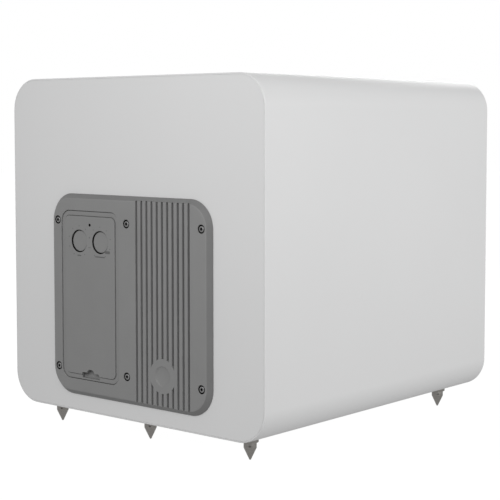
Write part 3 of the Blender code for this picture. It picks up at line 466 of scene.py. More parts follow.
def moulded_grey():
    """Spark-textured grey plastic, on the terminal cover."""
    return surface("moulded_grey", (0.244, 0.244, 0.243), 0.53, grain=2300.0, relief=0.22, depth=0.09 * MM,
                   mottle=30.0, vary=0.02, uneven=0.05)


def knob_grey():
    return surface("knob_grey", (0.244, 0.244, 0.243), 0.50, grain=2600.0, relief=0.15, depth=0.07 * MM,
                   mottle=60.0, vary=0.02)


def print_grey():
    """The darker grey that the dials' marks are printed in."""
    return surface("print_grey", (0.120, 0.120, 0.119), 0.55, grain=2500.0, mottle=400.0, vary=0.06)


def painted_recess_shade():
    """Painted shade: dull black laid on the faces deep in the counterbores, the screw sockets and the cover's
    holes, where shade falls.
    """
    return surface("painted_recess_shade", (0.010, 0.010, 0.010), 0.85, relief=0.3, mottle=300.0, vary=0.2,
                   Specular_IOR_Level=0.1)


def spike_steel():
    """Satin plated steel, turned, so its marks run round the axis."""
    return surface("spike_steel", (0.37, 0.355, 0.335), 0.33, 1.0, grain=900.0, relief=0.12, depth=0.05 * MM,
                   mottle=260.0, vary=0.16, uneven=0.09, stretch=(1.0, 1.0, 7.0))


def zinc_steel():
    return surface("zinc_steel", (0.52, 0.53, 0.54), 0.38, 1.0, grain=700.0, relief=0.08, depth=0.05 * MM,
                   mottle=120.0, vary=0.10, uneven=0.10)


def screw_steel():
    return surface("screw_steel", (0.36, 0.36, 0.36), 0.36, 1.0, mottle=500.0, vary=0.10, uneven=0.08)


def black_moulding():
    return surface("black_moulding", (0.022, 0.022, 0.023), 0.42, grain=2200.0, relief=0.15, mottle=60.0,
                   vary=0.10, uneven=0.06)


def black_stain():
    """Fibreboard under matt black stain."""
    return surface("black_stain", (0.030, 0.030, 0.031), 0.78, grain=1300.0, relief=0.35, depth=0.15 * MM,
                   mottle=40.0, vary=0.15, uneven=0.08)


def raw_fibreboard():
    return surface("raw_fibreboard", (0.40, 0.28, 0.17), 0.86, grain=1200.0, relief=0.35, depth=0.2 * MM,
                   mottle=300.0, vary=0.14)


def wadding_fluff():
    return surface("wadding_fluff", (0.80, 0.80, 0.77), 0.97, grain=260.0, relief=0.9, depth=2 * MM,
                   mottle=60.0, vary=0.07, Sheen_Weight=0.3)


def foam_black():
    return surface("foam_black", (0.035, 0.035, 0.035), 0.92, grain=1600.0, relief=0.8, depth=0.3 * MM,
                   mottle=300.0, vary=0.2)


def basket_paint():
    return surface("basket_paint", (0.028, 0.028, 0.029), 0.45, grain=1400.0, relief=0.2, mottle=60.0,
                   vary=0.1, uneven=0.08, Specular_IOR_Level=0.55)


def ferrite_grey():
    return surface("ferrite_grey", (0.06, 0.06, 0.062), 0.62, grain=900.0, relief=0.4, mottle=90.0, vary=0.15)


def cone_pulp():
    """Pressed paper, dark and slightly fibrous."""
    return surface("cone_pulp", (0.030, 0.030, 0.031), 0.70, grain=700.0, relief=0.55, depth=0.25 * MM,
                   mottle=180.0, vary=0.25, uneven=0.08)


def roll_rubber():
    return surface("roll_rubber", (0.020, 0.020, 0.021), 0.55, relief=0.2, mottle=60.0, vary=0.12)


def lamp_red():
    """A small lamp, off: a dark red lens."""
    return surface("lamp_red", (0.030, 0.004, 0.004), 0.35, grain=900.0, relief=0.05, mottle=300.0, vary=0.1,
                   uneven=0.05, Specular_IOR_Level=0.3)


def solder_mask():
    return surface("solder_mask", (0.02, 0.14, 0.05), 0.38, grain=600.0, relief=0.15, mottle=140.0, vary=0.25)


def sleeve_blue():
    return surface("sleeve_blue", (0.05, 0.06, 0.12), 0.30, grain=800.0, mottle=40.0, vary=0.08)


def lead_sleeve():
    return surface("lead_sleeve", (0.022, 0.022, 0.022), 0.50, grain=900.0, relief=0.3, mottle=120.0,
                   vary=0.15)


def copper_winding():
    """Enamelled wire, wound close."""
    return surface("copper_winding", (0.46, 0.21, 0.08), 0.32, 0.9, grain=500.0, relief=0.8, depth=0.4 * MM,
                   mottle=200.0, vary=0.2, stretch=(1.0, 4.0, 1.0))


def socket_ring(name, colour):
    return surface(name, colour, 0.35, relief=0.08, mottle=200.0, vary=0.05)


def gilt():
    return surface("gilt", (0.83, 0.62, 0.26), 0.28, 1.0, grain=1200.0, relief=0.06, mottle=300.0, vary=0.05)


# ---------------------------------------------------------------- cabinet
def cabinet_shell(finish):
    """The lacquered wrap, with its ends rounded over and bores for the six studs."""
    edge = [(ARRIS * (1 - math.cos(math.radians(a))), ARRIS * (1 - math.sin(math.radians(a))))
            for a in range(0, 91, 15)]
    lip, soft = 0.25 * MM, 0.08 * MM
    sections = [(inset, FRONT_Y + run) for inset, run in reversed(edge)]
    sections += [(inset, REAR_Y - run) for inset, run in edge]
    sections += [(REAR_LIP - soft, REAR_Y), (REAR_LIP, REAR_Y - soft), (REAR_LIP, REAR_Y - REAR_BOARD)]
    sections += [(WALL, REAR_Y - REAR_BOARD), (WALL, BAFFLE_Y), (FRONT_LIP, BAFFLE_Y)]
    sections += [(FRONT_LIP, FRONT_Y + 2 * lip), (FRONT_LIP - 2 * lip, FRONT_Y)]
    shell = lofted([(cabinet_outline(inset), y) for inset, y in sections], closed=True)
    bores = []
    for name in FEET:
        middle = place_of(f"spike_{name}")
        bore = turned(rectangle((0.0, -WALL), (STUD_RADIUS + 0.4 * MM, 1.5 * WALL)), 24, True, True)
        bores.append(moved(bore, middle.x, middle.y, WRAP_LOW.z))
    shell = shaped(shell, together(bores))
    piece("cabinet_shell", shell, "cabinet", finish, "cabinet_wrap")


def screw_places():
    """Across and up of each panel screw, by name."""
    names = [f"{row}_{column}" for row in ("top", "bottom") for column in ("left", "middle", "right")]
    return {name: on_back(f"panel_screw_{name}") for name in names}


def rear_board(finish):
    """The board that the panel sits in, set inside the wrap with a filled and painted hairline seam."""
    inset, soft = REAR_LIP + REAR_SEAM, 0.08 * MM
    back, filled = REAR_Y - REAR_BOARD + GAP, REAR_LIP + 0.02 * MM
    seam = REAR_Y - SEAM_DEPTH
    edge = [(filled, back), (filled, seam), (inset, seam), (inset, REAR_Y - soft), (inset + soft, REAR_Y),
            (inset + 0.004, REAR_Y)]
    board = lofted([(cabinet_outline(run), y) for run, y in edge])
    opening = slab(CUTOUT.outline(), REAR_Y - 2 * REAR_BOARD, REAR_Y + REAR_BOARD)
    rebate = slab(CUTOUT.grown(REBATE_WIDE).outline(), REAR_Y - REBATE_DEEP, REAR_Y + REAR_BOARD)
    corners = [place for name, place in screw_places().items() if "middle" not in name]
    pilots = together([at_back(rod(SCREW_SHANK + GAP, 0.0, 0.03), *place) for place in corners])
    board = shaped(board, opening, rebate, pilots)
    piece("rear_board", board, "cabinet", finish, "rear_panel")


def peg_places():
    """X and Z of the grille's four pegs."""
    middle = place_of("grille_frame")
    return [(side * PEG_ACROSS, middle.z + rise * PEG_RISE) for side in (-1, 1) for rise in (-1, 1)]


def baffle_board(finish):
    """The board behind the grille, rebated for the driver's flange."""
    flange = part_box("driver_basket")[1].x + 0.7 * MM
    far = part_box("front_baffle")[1].y
    board = slab(cabinet_outline(WALL + GAP), BAFFLE_Y + GAP, far)
    profile = [(0.0, -0.01), (flange, -0.01), (flange, DRIVER_REBATE), (DRIVER_HOLE, DRIVER_REBATE),
               (DRIVER_HOLE, BAFFLE + 0.01), (0.0, BAFFLE + 0.01)]
    opening = moved(turned(profile, 96), 0.0, BAFFLE_Y, CENTRE_Z)
    pegs = [moved(rod(PEG_HOLE, 0.01, -0.01), x, BAFFLE_Y, z) for x, z in peg_places()]
    board = shaped(board, opening, together(pegs))
    piece("baffle_board", board, "cabinet", finish, "front_baffle")


def wadding(finish):
    """Loose wadding round the inside of the top and sides, lumpy on its inner face."""
    low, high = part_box("damping_wadding")
    runs = [low.y + (high.y - low.y) * step / 14 for step in range(15)]
    outer, lining = cabinet_outline(WALL + MM, 12), WALL + WADDING
    inner = rounded(WIDTH - 2 * lining, HEIGHT - 2 * lining, 0.006, 12, (0.0, CENTRE_Z))
    sections = [(outer, y) for y in runs] + [(inner, y) for y in reversed(runs)]
    mesh = lofted(sections, closed=True)
    bmesh.ops.subdivide_edges(mesh, edges=[e for e in mesh.edges if e.calc_length() > 0.03], cuts=12,
                              use_grid_fill=True)
    gap = slab(rectangle((-WIDTH, 0.0), (WIDTH, low.z)), low.y - 0.01, high.y + 0.01)
    mesh = shaped(mesh, gap)
    for vertex in mesh.verts:
        outward = vertex.co - Vector((0.0, vertex.co.y, CENTRE_Z))
        inside = abs(outward.x) < WIDTH / 2 - lining + MM and abs(outward.z) < HEIGHT / 2 - lining + MM
        if inside and vertex.co.z > low.z + MM:
            lump = noise.noise(vertex.co * 45.0) + 0.5 * noise.noise(vertex.co * 120.0)
            vertex.co += outward.normalized() * min(0.006, max(-0.004, 0.006 * lump))
    piece("wadding_lining", mesh, "cabinet", finish, "damping_wadding", sharp=80)


# ---------------------------------------------------------------- feet
def feet(finish):
    """Six pointed spikes, each with a round lock nut."""
    for name in FEET:
        spike_foot(name, finish)
        lock_nut(name, finish)


def spike_foot(name, finish):
    """A spike with a threaded stud, and a cross hole for a tommy bar."""
    low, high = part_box(f"spike_{name}")
    middle, radius, tall = (low + high) / 2, (high.x - low.x) / 2, high.z - low.z
    start, end, pitch, root = SPIKE_SHOULDER + 0.002, tall - 0.0015, 1.0 * MM, STUD_RADIUS - 0.35 * MM
    outline = [(0.0, 0.0), (0.8 * MM, 0.0), (radius, SPIKE_CONE), (radius, SPIKE_SHOULDER),
               (STUD_RADIUS, SPIKE_SHOULDER), (STUD_RADIUS, start)]
    ridge = []
    for turn in range(int((end - start) / pitch)):
        ridge += [(root, start + (turn + 0.5) * pitch), (STUD_RADIUS, start + (turn + 1) * pitch)]
    profile = [*softened(outline, 0.5 * MM), *ridge, (STUD_RADIUS - MM, tall), (0.0, tall)]
    bar_hole = rod(1.3 * MM, 0.02, -0.02, 20)
    bmesh.ops.rotate(bar_hole, verts=bar_hole.verts, matrix=Matrix.Rotation(math.radians(38), 3, "Z"))
    spike = shaped(turned(profile, 40, upright=True), moved(bar_hole, z=SPIKE_CONE + 0.0028))
    moved(spike, middle.x, middle.y, low.z)
    piece(f"foot_{name}", spike, f"spike_{name}", finish, f"spike_{name}")


def lock_nut(name, finish):
    """The round nut that holds a spike's stud at its height."""
    under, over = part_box(f"lock_nut_{name}")
    middle, wide, bore = place_of(f"spike_{name}"), (over.x - under.x) / 2, STUD_RADIUS + GAP
    profile = softened([(bore, under.z), (wide, under.z), (wide, over.z), (bore, over.z)], 0.7 * MM)
    nut = moved(turned(profile, 48, upright=True, closed=True), middle.x, middle.y)
    piece(f"nut_{name}", nut, "cabinet", finish, f"lock_nut_{name}")


# ---------------------------------------------------------------- amplifier panel
def lengthwise(points, left, right):
    """A solid from (depth, up) points on the back, given its width from left to right."""
    return bar([(inward(depth), CENTRE_Z + up) for depth, up in points], -right, -left)


def cover_pegs():
    """Where the cover's four pegs are: on the ledge, near its corners."""
    inset = 0.0043
    sides = (COVER_RECESS.left + inset, COVER_RECESS.right - inset)
    rises = (COVER_RECESS.low + inset, COVER_RECESS.high - inset)
    return [(across, up) for across in sides for up in rises]


def knob_places():
    return [on_back("level_knob"), on_back("crossover_knob")]


def panel_body():
    """The chamfered plate with the slab and the bay's tub behind it."""
    edge = [(0.0, PANEL_BACK), (0.0, PANEL_CHAMFER), (PANEL_CHAMFER, 0.0), (0.012, 0.0)]
    edge = softened(edge, 0.9 * MM, 4)
    body = lofted([(PANEL.grown(-run).outline(16), inward(depth)) for run, depth in edge])
    left, right = UPPER_POCKET.left - TUB_WALL, UPPER_POCKET.right + TUB_WALL
    top = UPPER_POCKET.high + TUB_WALL
    step, foot, low = LOWER_TOP + TUB_WALL, RAMP_FOOT - TUB_WALL, POCKET_LOW - TUB_WALL
    tub = [(0.005, top), (UPPER_BACK, top), (UPPER_BACK, step), (TUB_BACK, step), (TUB_BACK, foot),
           (0.010, low), (0.005, low)]
    backing = slab(SLAB.outline(), inward(SLAB_BACK), inward(0.003))
    return shaped(body, backing, lengthwise(tub, left, right), operation="UNION")


def groove_cutters():
    """Straight cooling grooves with rolled lips and round ends, stopped round a plain disc."""
    middle, length = (GROOVE_TOP + GROOVE_BOTTOM) / 2, GROOVE_TOP - GROOVE_BOTTOM
    angles = [math.radians(degrees) for degrees in (14, 30, 50, 70, 90)]
    lip = [(GROOVE_HALF + GROOVE_LIP * (1 - math.sin(a)), GROOVE_LIP * (1 - math.cos(a))) for a in angles]
    walls = [(lip[0][0], -0.002), *lip, (GROOVE_FLOOR + 0.2 * MM, GROOVE_DEPTH - 0.5 * MM),
             (GROOVE_FLOOR * 0.55, GROOVE_DEPTH)]
    grooves = []
    for index in range(GROOVE_COUNT):
        centre = behind(GROOVE_FIRST + index * GROOVE_PITCH, middle)
        sections = []
        for half, depth in walls:
            outline = rounded(2 * half, length - 2 * (GROOVE_HALF - half), half / 1.001, 5, centre)
            sections.append((outline, inward(depth)))
        grooves.append(lofted(sections))
    stop = at_back(rod(DISC_RADIUS, -0.004, 0.008, 72), *DISC_PLACE)
    return shaped(together(grooves), stop)


def sink_cutter():
    """A counterbore with a clearance hole below it."""
    mouth, shank, seat, end = SCREW_SINK + 0.4 * MM, SCREW_SHANK + 0.4 * MM, 0.0035, 0.012
    return turned([(0.0, 0.002), (mouth, 0.002), (mouth, -0.1 * MM), (SCREW_SINK, -0.5 * MM),
                   (SCREW_SINK, -seat), (shank, -seat), (shank, -end), (0.0, -end)], 36)


def on_chamfer(point):
    """Whether a point of the panel is on its sloping edge."""
    sloping = SLACK < PANEL_Y - point.y < PANEL_BACK + 0.1 * MM
    return sloping and PANEL.beyond(-point.x, point.z - CENTRE_Z) > -PANEL_CHAMFER - SLACK


def amp_plate(finish, chamfer_shade, shadow):
    """The cast panel: chamfered, grooved, and sunk for the cover, the screws and the terminal bay."""
    body = panel_body()
    mouth = softened([(0.4 * MM, -0.002), (0.4 * MM, 0.0), (0.0, 0.3 * MM), (0.0, COVER_LEDGE)], 0.2 * MM, 2)
    recess = lofted([(COVER_RECESS.grown(run).outline(10), inward(depth)) for run, depth in mouth])
    upper = slab(UPPER_POCKET.outline(), inward(UPPER_FLOOR), inward(-0.003))
    through, ramp = TUB_BACK + 0.002, TUB_BACK - 0.002
    deep = [(-0.003, LOWER_TOP), (through, LOWER_TOP), (through, RAMP_FOOT), (ramp, RAMP_FOOT),
            (0.007, POCKET_LOW), (-0.003, POCKET_LOW)]
    lower = lengthwise(deep, UPPER_POCKET.left, UPPER_POCKET.right)
    reach = POCKET_LOW + 0.001
    channel = [(-0.002, reach), (0.0085, reach), (0.0048, NOTCH_LOW), (-0.002, NOTCH_LOW)]
    lead_channel = lengthwise(channel, NOTCH_LEFT - 0.6 * MM, NOTCH_RIGHT + 0.6 * MM)
    sinks = together([at_back(sink_cutter(), *place) for place in screw_places().values()])
    bores = [at_back(rod(SPINDLE_BORE, 0.010, 0.02), *place) for place in knob_places()]
    bores.append(at_back(rod(LED_RADIUS + GAP, 0.010, 0.02), *LED_PLACE))
    pegs = together([at_back(rod(COVER_PEG_HOLE, 0.002, 0.0088, 16), *place) for place in cover_pegs()])
    brim, floor = DISC_DISH + MM, 1.2 * MM
    dished = [(0.0, 0.002), (brim, 0.002), (brim, -0.05 * MM), (DISC_DISH, -0.9 * MM),
              (DISC_DISH - 0.6 * MM, -floor), (0.0, -floor)]
    dish = at_back(turned(dished, 64), *DISC_PLACE)
    cutters = (recess, upper, lower, lead_channel, groove_cutters(), sinks, together(bores), pegs, dish)
    made = piece("amp_plate", shaped(body, *cutters), "cabinet", finish, "amp_panel", sharp=28)
    # Painted shade: the sloping chamfer gets a darker copy of the powder coat, standing in for shade on it.
    lined(made, chamfer_shade, on_chamfer)
    # Painted shade: faces deep in the screw counterbores take the black shade finish.
    lined(made, shadow, sunk([(place, SCREW_SINK + SLACK) for place in screw_places().values()], MM / 3))


def screws(finish, shadow):
    """Screws with rounded heads and hexagon sockets."""
    socket_wide, socket_deep, seat = 1.9 * MM, 0.0024, 0.0032
    for name, place in screw_places().items():
        head = [(0.0, -0.4 * MM), (SCREW_HEAD, -0.5 * MM), (SCREW_HEAD, -seat), (SCREW_SHANK, -seat)]
        screw = turned([*softened(head, 0.7 * MM, 4), (SCREW_SHANK, -0.0200), (0.0, -0.0215)], 36)
        socket = rod(socket_wide, -0.001, socket_deep, 6)
        screw = at_back(shaped(screw, socket), *place)
        made = piece(f"screw_{name}", screw, "cabinet", finish, f"panel_screw_{name}")
        # Painted shade: the faces deep in each screw's socket take the black shade finish.
        lined(made, shadow, sunk([(place, socket_wide)], 0.6 * MM))


# ---------------------------------------------------------------- cover and controls
def notch_outline():
    """The cable notch: flat below, with shoulders and a round hump above the middle."""
    middle, rise = (NOTCH_LEFT + NOTCH_RIGHT) / 2, (NOTCH_SHOULDER - NOTCH_LOW) / 3
    points = [(NOTCH_LEFT, NOTCH_LOW), (NOTCH_RIGHT, NOTCH_LOW), (NOTCH_RIGHT, NOTCH_SHOULDER - rise),
              (NOTCH_RIGHT - 0.3 * rise, NOTCH_SHOULDER - 0.3 * rise), (NOTCH_RIGHT - rise, NOTCH_SHOULDER)]
    for step in range(17):
        angle = math.radians(180 / 16 * step)
        up = NOTCH_SHOULDER + 0.65 * NOTCH_HUMP * math.sin(angle)
        points.append((middle + NOTCH_HUMP * math.cos(angle), up))
    points += [(NOTCH_LEFT + rise, NOTCH_SHOULDER), (NOTCH_LEFT + 0.3 * rise, NOTCH_SHOULDER - 0.3 * rise),
               (NOTCH_LEFT, NOTCH_SHOULDER - rise)]
    return [behind(across, up) for across, up in points]


def terminal_lid(finish, shadow):
    """The lift-off cover: a low rim, a groove round its raised middle, and its holes."""
    fit, rim, underside, middle = 0.7 * MM, 1.1 * MM, 3.3 * MM, 0.2 * MM
    outer, inner, floor = 0.0050, 0.0057, 2.4 * MM
    run = [(0.0, underside), (0.0, rim), (outer, rim), (outer, floor), (inner, floor), (inner, middle),
           (0.0090, middle)]
    edge = softened(run, 0.25 * MM, 4)
    lid = lofted([(COVER_RECESS.grown(-fit - inset).outline(10), inward(depth)) for inset, depth in edge])
    pegs = together([at_back(rod(COVER_PEG, 0.0025, 0.0080, 16), *place) for place in cover_pegs()])
    lip, bevel, end = 0.9 * MM, middle + 0.05 * MM, 0.006
    profile = [(0.0, 0.002), (KNOB_HOLE + lip, 0.002), (KNOB_HOLE + lip, -bevel),
               (KNOB_HOLE + 0.4 * lip, -middle - 0.3 * lip), (KNOB_HOLE, -middle - lip), (KNOB_HOLE, -end),
               (0.0, -end)]
    holes = [at_back(turned(profile, 72), *place) for place in knob_places()]
    mouth, lamp_hole = 2.0 * MM, 1.7 * MM
    lamp = [(0.0, 0.002), (mouth, 0.002), (mouth, -bevel), (lamp_hole, -0.5 * MM), (lamp_hole, -end),
            (0.0, -end)]
    holes.append(at_back(turned(lamp, 24), *LED_PLACE))
    notch = slab(notch_outline(), inward(-0.003), inward(end))
    lid = shaped(shaped(lid, pegs, operation="UNION"), together(holes), notch)
    made = piece("terminal_lid", lid, "terminal_cover", finish, "terminal_cover", sharp=26)
    wells = [(place, KNOB_HOLE + SLACK) for place in knob_places()] + [(LED_PLACE, 2.1 * MM)]
    # Painted shade: the walls deep in the knob holes and the lamp's hole take the black shade finish.
    lined(made, shadow, sunk(wells, 0.5 * MM))


def dial_marks(finish):
    """Dots round each knob, a plain bar below each and a small tag between, printed on the cover."""
    face, proud, thick, around, dot = 0.2 * MM, 0.06 * MM, 0.05 * MM, 0.0178, 0.6 * MM
    near = inward(face - proud)
    marks = []
    for across, up in knob_places():
        for step in range(-4, 5):
            angle = math.radians(37.5 * step)
            x, z = behind(across + around * math.sin(angle), up + around * math.cos(angle))
            marks.append(moved(turned(rectangle((0.0, -thick), (dot, 0.0)), 14, closed=True), x, near, z))
    height, bar_row = 1.3 * MM, -0.0106
    for (across, _), length in zip(knob_places(), (0.0066, 0.0164)):
        bar_outline = rounded(length, height, height / 2.01, 4, behind(across, bar_row))
        marks.append(slab(bar_outline, near - thick, near))
    tag = rounded(0.0078, 0.0032, 0.0008, 4, behind(-0.0304, -0.0046))
    marks.append(slab(tag, near - thick, near))
    for index, mark in enumerate(marks):
        piece(f"dial_mark_{index + 1}", mark, "terminal_cover", finish)


def knob(name, finish):
    """A plain knob that sits low in its hole, its face very slightly dished."""
    radius, face, back = KNOB_HOLE - KNOB_GAP, KNOB_FACE, 0.0114
    end = PANEL_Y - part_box(f"{name}_knob")[0].y
    dish = [(0.5 * radius, -face - 0.2 * MM), (radius - 1.6 * MM, -face - 0.04 * MM)]
    edge = [(radius - 0.8 * MM, -face), (radius, -face - 0.1 * MM), (radius, -back), (SPINDLE_RADIUS, -back)]
    side = softened([*dish, *edge, (SPINDLE_RADIUS, -end)], 0.5 * MM, 4)
    made = turned([(0.0, -face - 0.25 * MM), *side, (0.0, -end)], 72)
    made = at_back(made, *on_back(f"{name}_knob"))
    piece(f"{name}_dial", made, f"{name}_knob", finish, f"{name}_knob")


# ---------------------------------------------------------------- terminal bay
def phono_fittings(metal, finishes):
    """The three phono sockets' turned collars and coloured insulators."""
    middle, up = on_back("phono_sockets")
    pitch, front = 0.018, PANEL_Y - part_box("phono_sockets")[1].y
    near, far, bore, wide = -front + 0.1 * MM, -front - 0.8 * MM, 0.0018, 0.0033
    ring = [*softened([(bore, near), (wide, near), (wide, far)], 0.2 * MM), (bore, far)]
    collar = rectangle((0.0042, -0.0395), (0.0055, -0.0409))
    for index, (colour, finish) in enumerate(finishes):
        across = middle + (index - 1) * pitch
        sleeve = at_back(turned(ring, 32, closed=True), across, up)
        piece(f"phono_insulator_{colour}", sleeve, "cabinet", finish)
        sleeve = at_back(turned(collar, 32, closed=True), across, up)
        piece(f"phono_collar_{colour}", sleeve, "cabinet", metal)


# ---------------------------------------------------------------- driver
def driver_mesh(profile, steps=96, closed=False):
    """A mesh turned about the driver's axis; distances are measured back from the baffle's face."""
    return moved(turned(profile, steps, closed=closed), 0.0, BAFFLE_Y, CENTRE_Z)


def basket(finish, bolts):
    """The cast basket with its windows, and the eight screws through its flange."""
    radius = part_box("driver_basket")[1].x
    inner = [(0.139, 0.0030), (0.147, 0.0030), (0.147, 0.0006)]
    outer = [(radius - 0.4 * MM, 0.0005), (radius, 0.0009), (radius, 0.0050), (0.143, 0.0050),
             (0.143, 0.0140), (0.084, 0.0700), (0.084, 0.0920), (0.036, 0.0920), (0.036, 0.0885),
             (0.0805, 0.0885), (0.0805, 0.0730), (0.073, 0.0700), (0.073, 0.0670), (0.082, 0.0665),
             (0.139, 0.0130)]
    body = driver_mesh([*inner, (0.1474, 0.0005), *outer], closed=True)
    windows = []
    for index in range(6):
        start, steps, gap = 60 * index + 8, 10, 44
        angles = [math.radians(start + gap * step / steps) for step in range(steps + 1)]
        arcs = [(0.150 * math.cos(a), 0.150 * math.sin(a)) for a in angles]
        arcs += [(0.090 * math.cos(a), 0.090 * math.sin(a)) for a in reversed(angles)]
        outline = [(x, CENTRE_Z + z) for x, z in arcs]
        windows.append(slab(outline, BAFFLE_Y + 0.020, BAFFLE_Y + 0.058))
    piece("basket", shaped(body, together(windows)), "cabinet", finish, "driver_basket")
    for index in range(8):
        angle = math.radians(45 * index + 22.5)
        head = softened([(0.0, -0.0015), (0.0024, -0.0013), (0.0024, 0.0006), (0.0, 0.0006)], 0.5 * MM)
        bolt = shaped(turned(head, 24), rod(1.2 * MM, 0.0, 0.004, 6))
        moved(bolt, BOLT_CIRCLE * math.cos(angle), BAFFLE_Y, CENTRE_Z + BOLT_CIRCLE * math.sin(angle))
        piece(f"driver_screw_{index + 1}", bolt, "cabinet", bolts)


def cone_line(t, offset=0.0):
    """A point on the cone, from its neck at 0 to its rim at 1."""
    neck, rise, curve = 0.052, 0.0465, 0.85
    return (CONE_NECK + (CONE_RADIUS - CONE_NECK) * t, neck - rise * t**curve + offset)


def cone_and_cap(finish):
    """The paper cone and its domed dust cap."""
    steps = 24
    front = [cone_line(step / steps) for step in range(steps + 1)]
    back = [cone_line(step / steps, 1.6 * MM) for step in range(steps, -1, -1)]
    piece("paper_cone", driver_mesh(front + back, closed=True), "driver_cone", finish, "cone")
    radius, rim, height, thick = 0.052, 0.0342, 0.015, 1.2 * MM
    angles = [math.radians(90 * step / 16) for step in range(17)]
    dome = [(radius * math.sin(a), rim - height * math.cos(a)) for a in angles]
    inside = [(0.97 * r, along + thick) for r, along in reversed(dome)]
    piece("cap_dome", driver_mesh(dome + inside), "driver_cone", finish, "dust_cap")


def bend_radially(made):
    """Bakes a ring's placement into its mesh; the ring is not blended or bent."""
    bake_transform(made)


def surround_and_spider(rubber, cloth):
    """The rubber half roll round the cone and the corrugated cloth spider behind it."""
    level, thick, middle = 2.7 * MM, 1.0 * MM, CONE_RADIUS + 0.0110
    land_in, land_out = CONE_RADIUS - 0.004, 0.1465
    angles = [math.radians(180 * step / 20) for step in range(21)]
    roll = [(middle - ROLL_RADIUS * math.cos(a), level - thick - ROLL_RADIUS * math.sin(a)) for a in angles]
    hollow = ROLL_RADIUS - thick
    under = [(middle - hollow * math.cos(a), level - hollow * math.sin(a)) for a in reversed(angles)]
    ring = [(land_in, level - thick), *roll, (land_out, level - thick), (land_out, level), *under,
            (land_in, level)]
    mesh = driver_mesh(ring, closed=True)
    made = piece("rubber_roll", mesh, None, rubber, "surround", sharp=50)
    bend_radially(made)
    inner, outer, steps = COIL_RADIUS + 0.4 * MM, 0.0720, 60
    wave = []
    for step in range(steps + 1):
        share = step / steps
        wave.append((inner + (outer - inner) * share, 0.0650 + 1.6 * MM * math.sin(6 * math.pi * share)))
    back = [(r, along + 0.9 * MM) for r, along in reversed(wave)]
    mesh = driver_mesh(wave + back, closed=True)
    made = piece("spider_disc", mesh, None, cloth, "spider", sharp=50)
    bend_radially(made)


# ---------------------------------------------------------------- grille
def grille(board, cloth):
    """The grille: a frame with four pegs, and the cloth drawn over its face and round its edge."""
    low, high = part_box("grille_frame")
    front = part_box("grille_cloth")[0].y
    face, back = low.y, front + 0.0125
    inset = FRONT_LIP + GRILLE_GAP + CLOTH + GAP
    edge = softened([(inset + 0.004, face), (inset, face), (inset, back), (inset + 0.004, back)], 1.2 * MM, 4)
    made = lofted([(cabinet_outline(run), y) for run, y in edge])
    opening = softened([(GRILLE_MOUTH, 0.02), (GRILLE_HOLE, back - face), (GRILLE_HOLE, -0.02)], 0.002)
    opening = moved(turned([(0.0, 0.02), *opening, (0.0, -0.02)], 96), 0.0, face, CENTRE_Z)
    root, seat, end = back - 0.005, BAFFLE_Y - GAP, high.y
    profile = [(0.0, root), (PEG_COLLAR, root), (PEG_COLLAR, seat), (PEG_RADIUS, seat), (PEG_RADIUS, end),
               (0.0, end)]
    profile = softened(profile, 0.6 * MM)
    pegs = together([moved(turned(profile, 28), x, 0.0, z) for x, z in peg_places()])
    made = shaped(shaped(made, opening), pegs, operation="UNION")
    piece("grille_board", made, "grille", board, "grille_frame")

    drawn, tuck, bend = FRONT_LIP + GRILLE_GAP, back - MM, 2.2 * MM
    outside = softened([(drawn, tuck), (drawn, front), (drawn + 2.4 * bend, front)], bend, 6)
    inside = [(drawn + CLOTH, front + CLOTH), (drawn + CLOTH, tuck)]
    mesh = lofted([(cabinet_outline(run), y) for run, y in (*inside, *outside)])
    sheet = piece("grille_fabric", mesh, "grille", cloth, "grille_cloth", sharp=50)


# ---------------------------------------------------------------- studio
CAMERA_PLACE = Vector((-1.0899, 1.2842, 0.3625))
CAMERA_HEADING, CAMERA_DIP, CAMERA_LENS, CAMERA_SHIFT = -49.482, 3.792, 96.9, -0.07
ROOM_LIGHT = 0.597


def camera():
    """A long lens, looking at the back and one side from a little above the cabinet's middle."""
    heading, dip = math.radians(CAMERA_HEADING), math.radians(CAMERA_DIP)
    looking = Vector((math.cos(heading) * math.cos(dip), math.sin(heading) * math.cos(dip), -math.sin(dip)))
    data = bpy.data.cameras.new("camera")
    data.lens = CAMERA_LENS
    data.shift_y = CAMERA_SHIFT
    made = bpy.data.objects.new("camera", data)
    made.location = CAMERA_PLACE
    made.rotation_euler = looking.to_track_quat("-Z", "Y").to_euler()
    bpy.context.scene.collection.objects.link(made)
    bpy.context.scene.camera = made


def softbox(name, place, aim, width, height, power):
    data = bpy.data.lights.new(name, "AREA")
    data.shape = "RECTANGLE"
    data.size, data.size_y = width, height
    data.energy = power
    made = bpy.data.objects.new(name, data)
    made.location = place
    made.rotation_euler = (Vector(aim) - Vector(place)).to_track_quat("-Z", "Y").to_euler()
    made.visible_camera = False
    bpy.context.scene.collection.objects.link(made)


def sky():
    """Even light from all round, in a room that looks plain white."""
    world = bpy.data.worlds.new("studio")
    bpy.context.scene.world = world
    world.use_nodes = True
    tree = world.node_tree
    tree.nodes.clear()
    light = node_of(tree, "Background", Strength=ROOM_LIGHT)
    plain = node_of(tree, "Background", Color=(1.0, 1.0, 1.0, 1.0))
    mix = node_of(tree, "MixShader", Fac=node_of(tree, "LightPath").outputs["Is Camera Ray"])
    tree.links.new(light.outputs["Background"], mix.inputs[1])
    tree.links.new(plain.outputs["Background"], mix.inputs[2])
    node_of(tree, "OutputWorld", Surface=mix.outputs["Shader"])


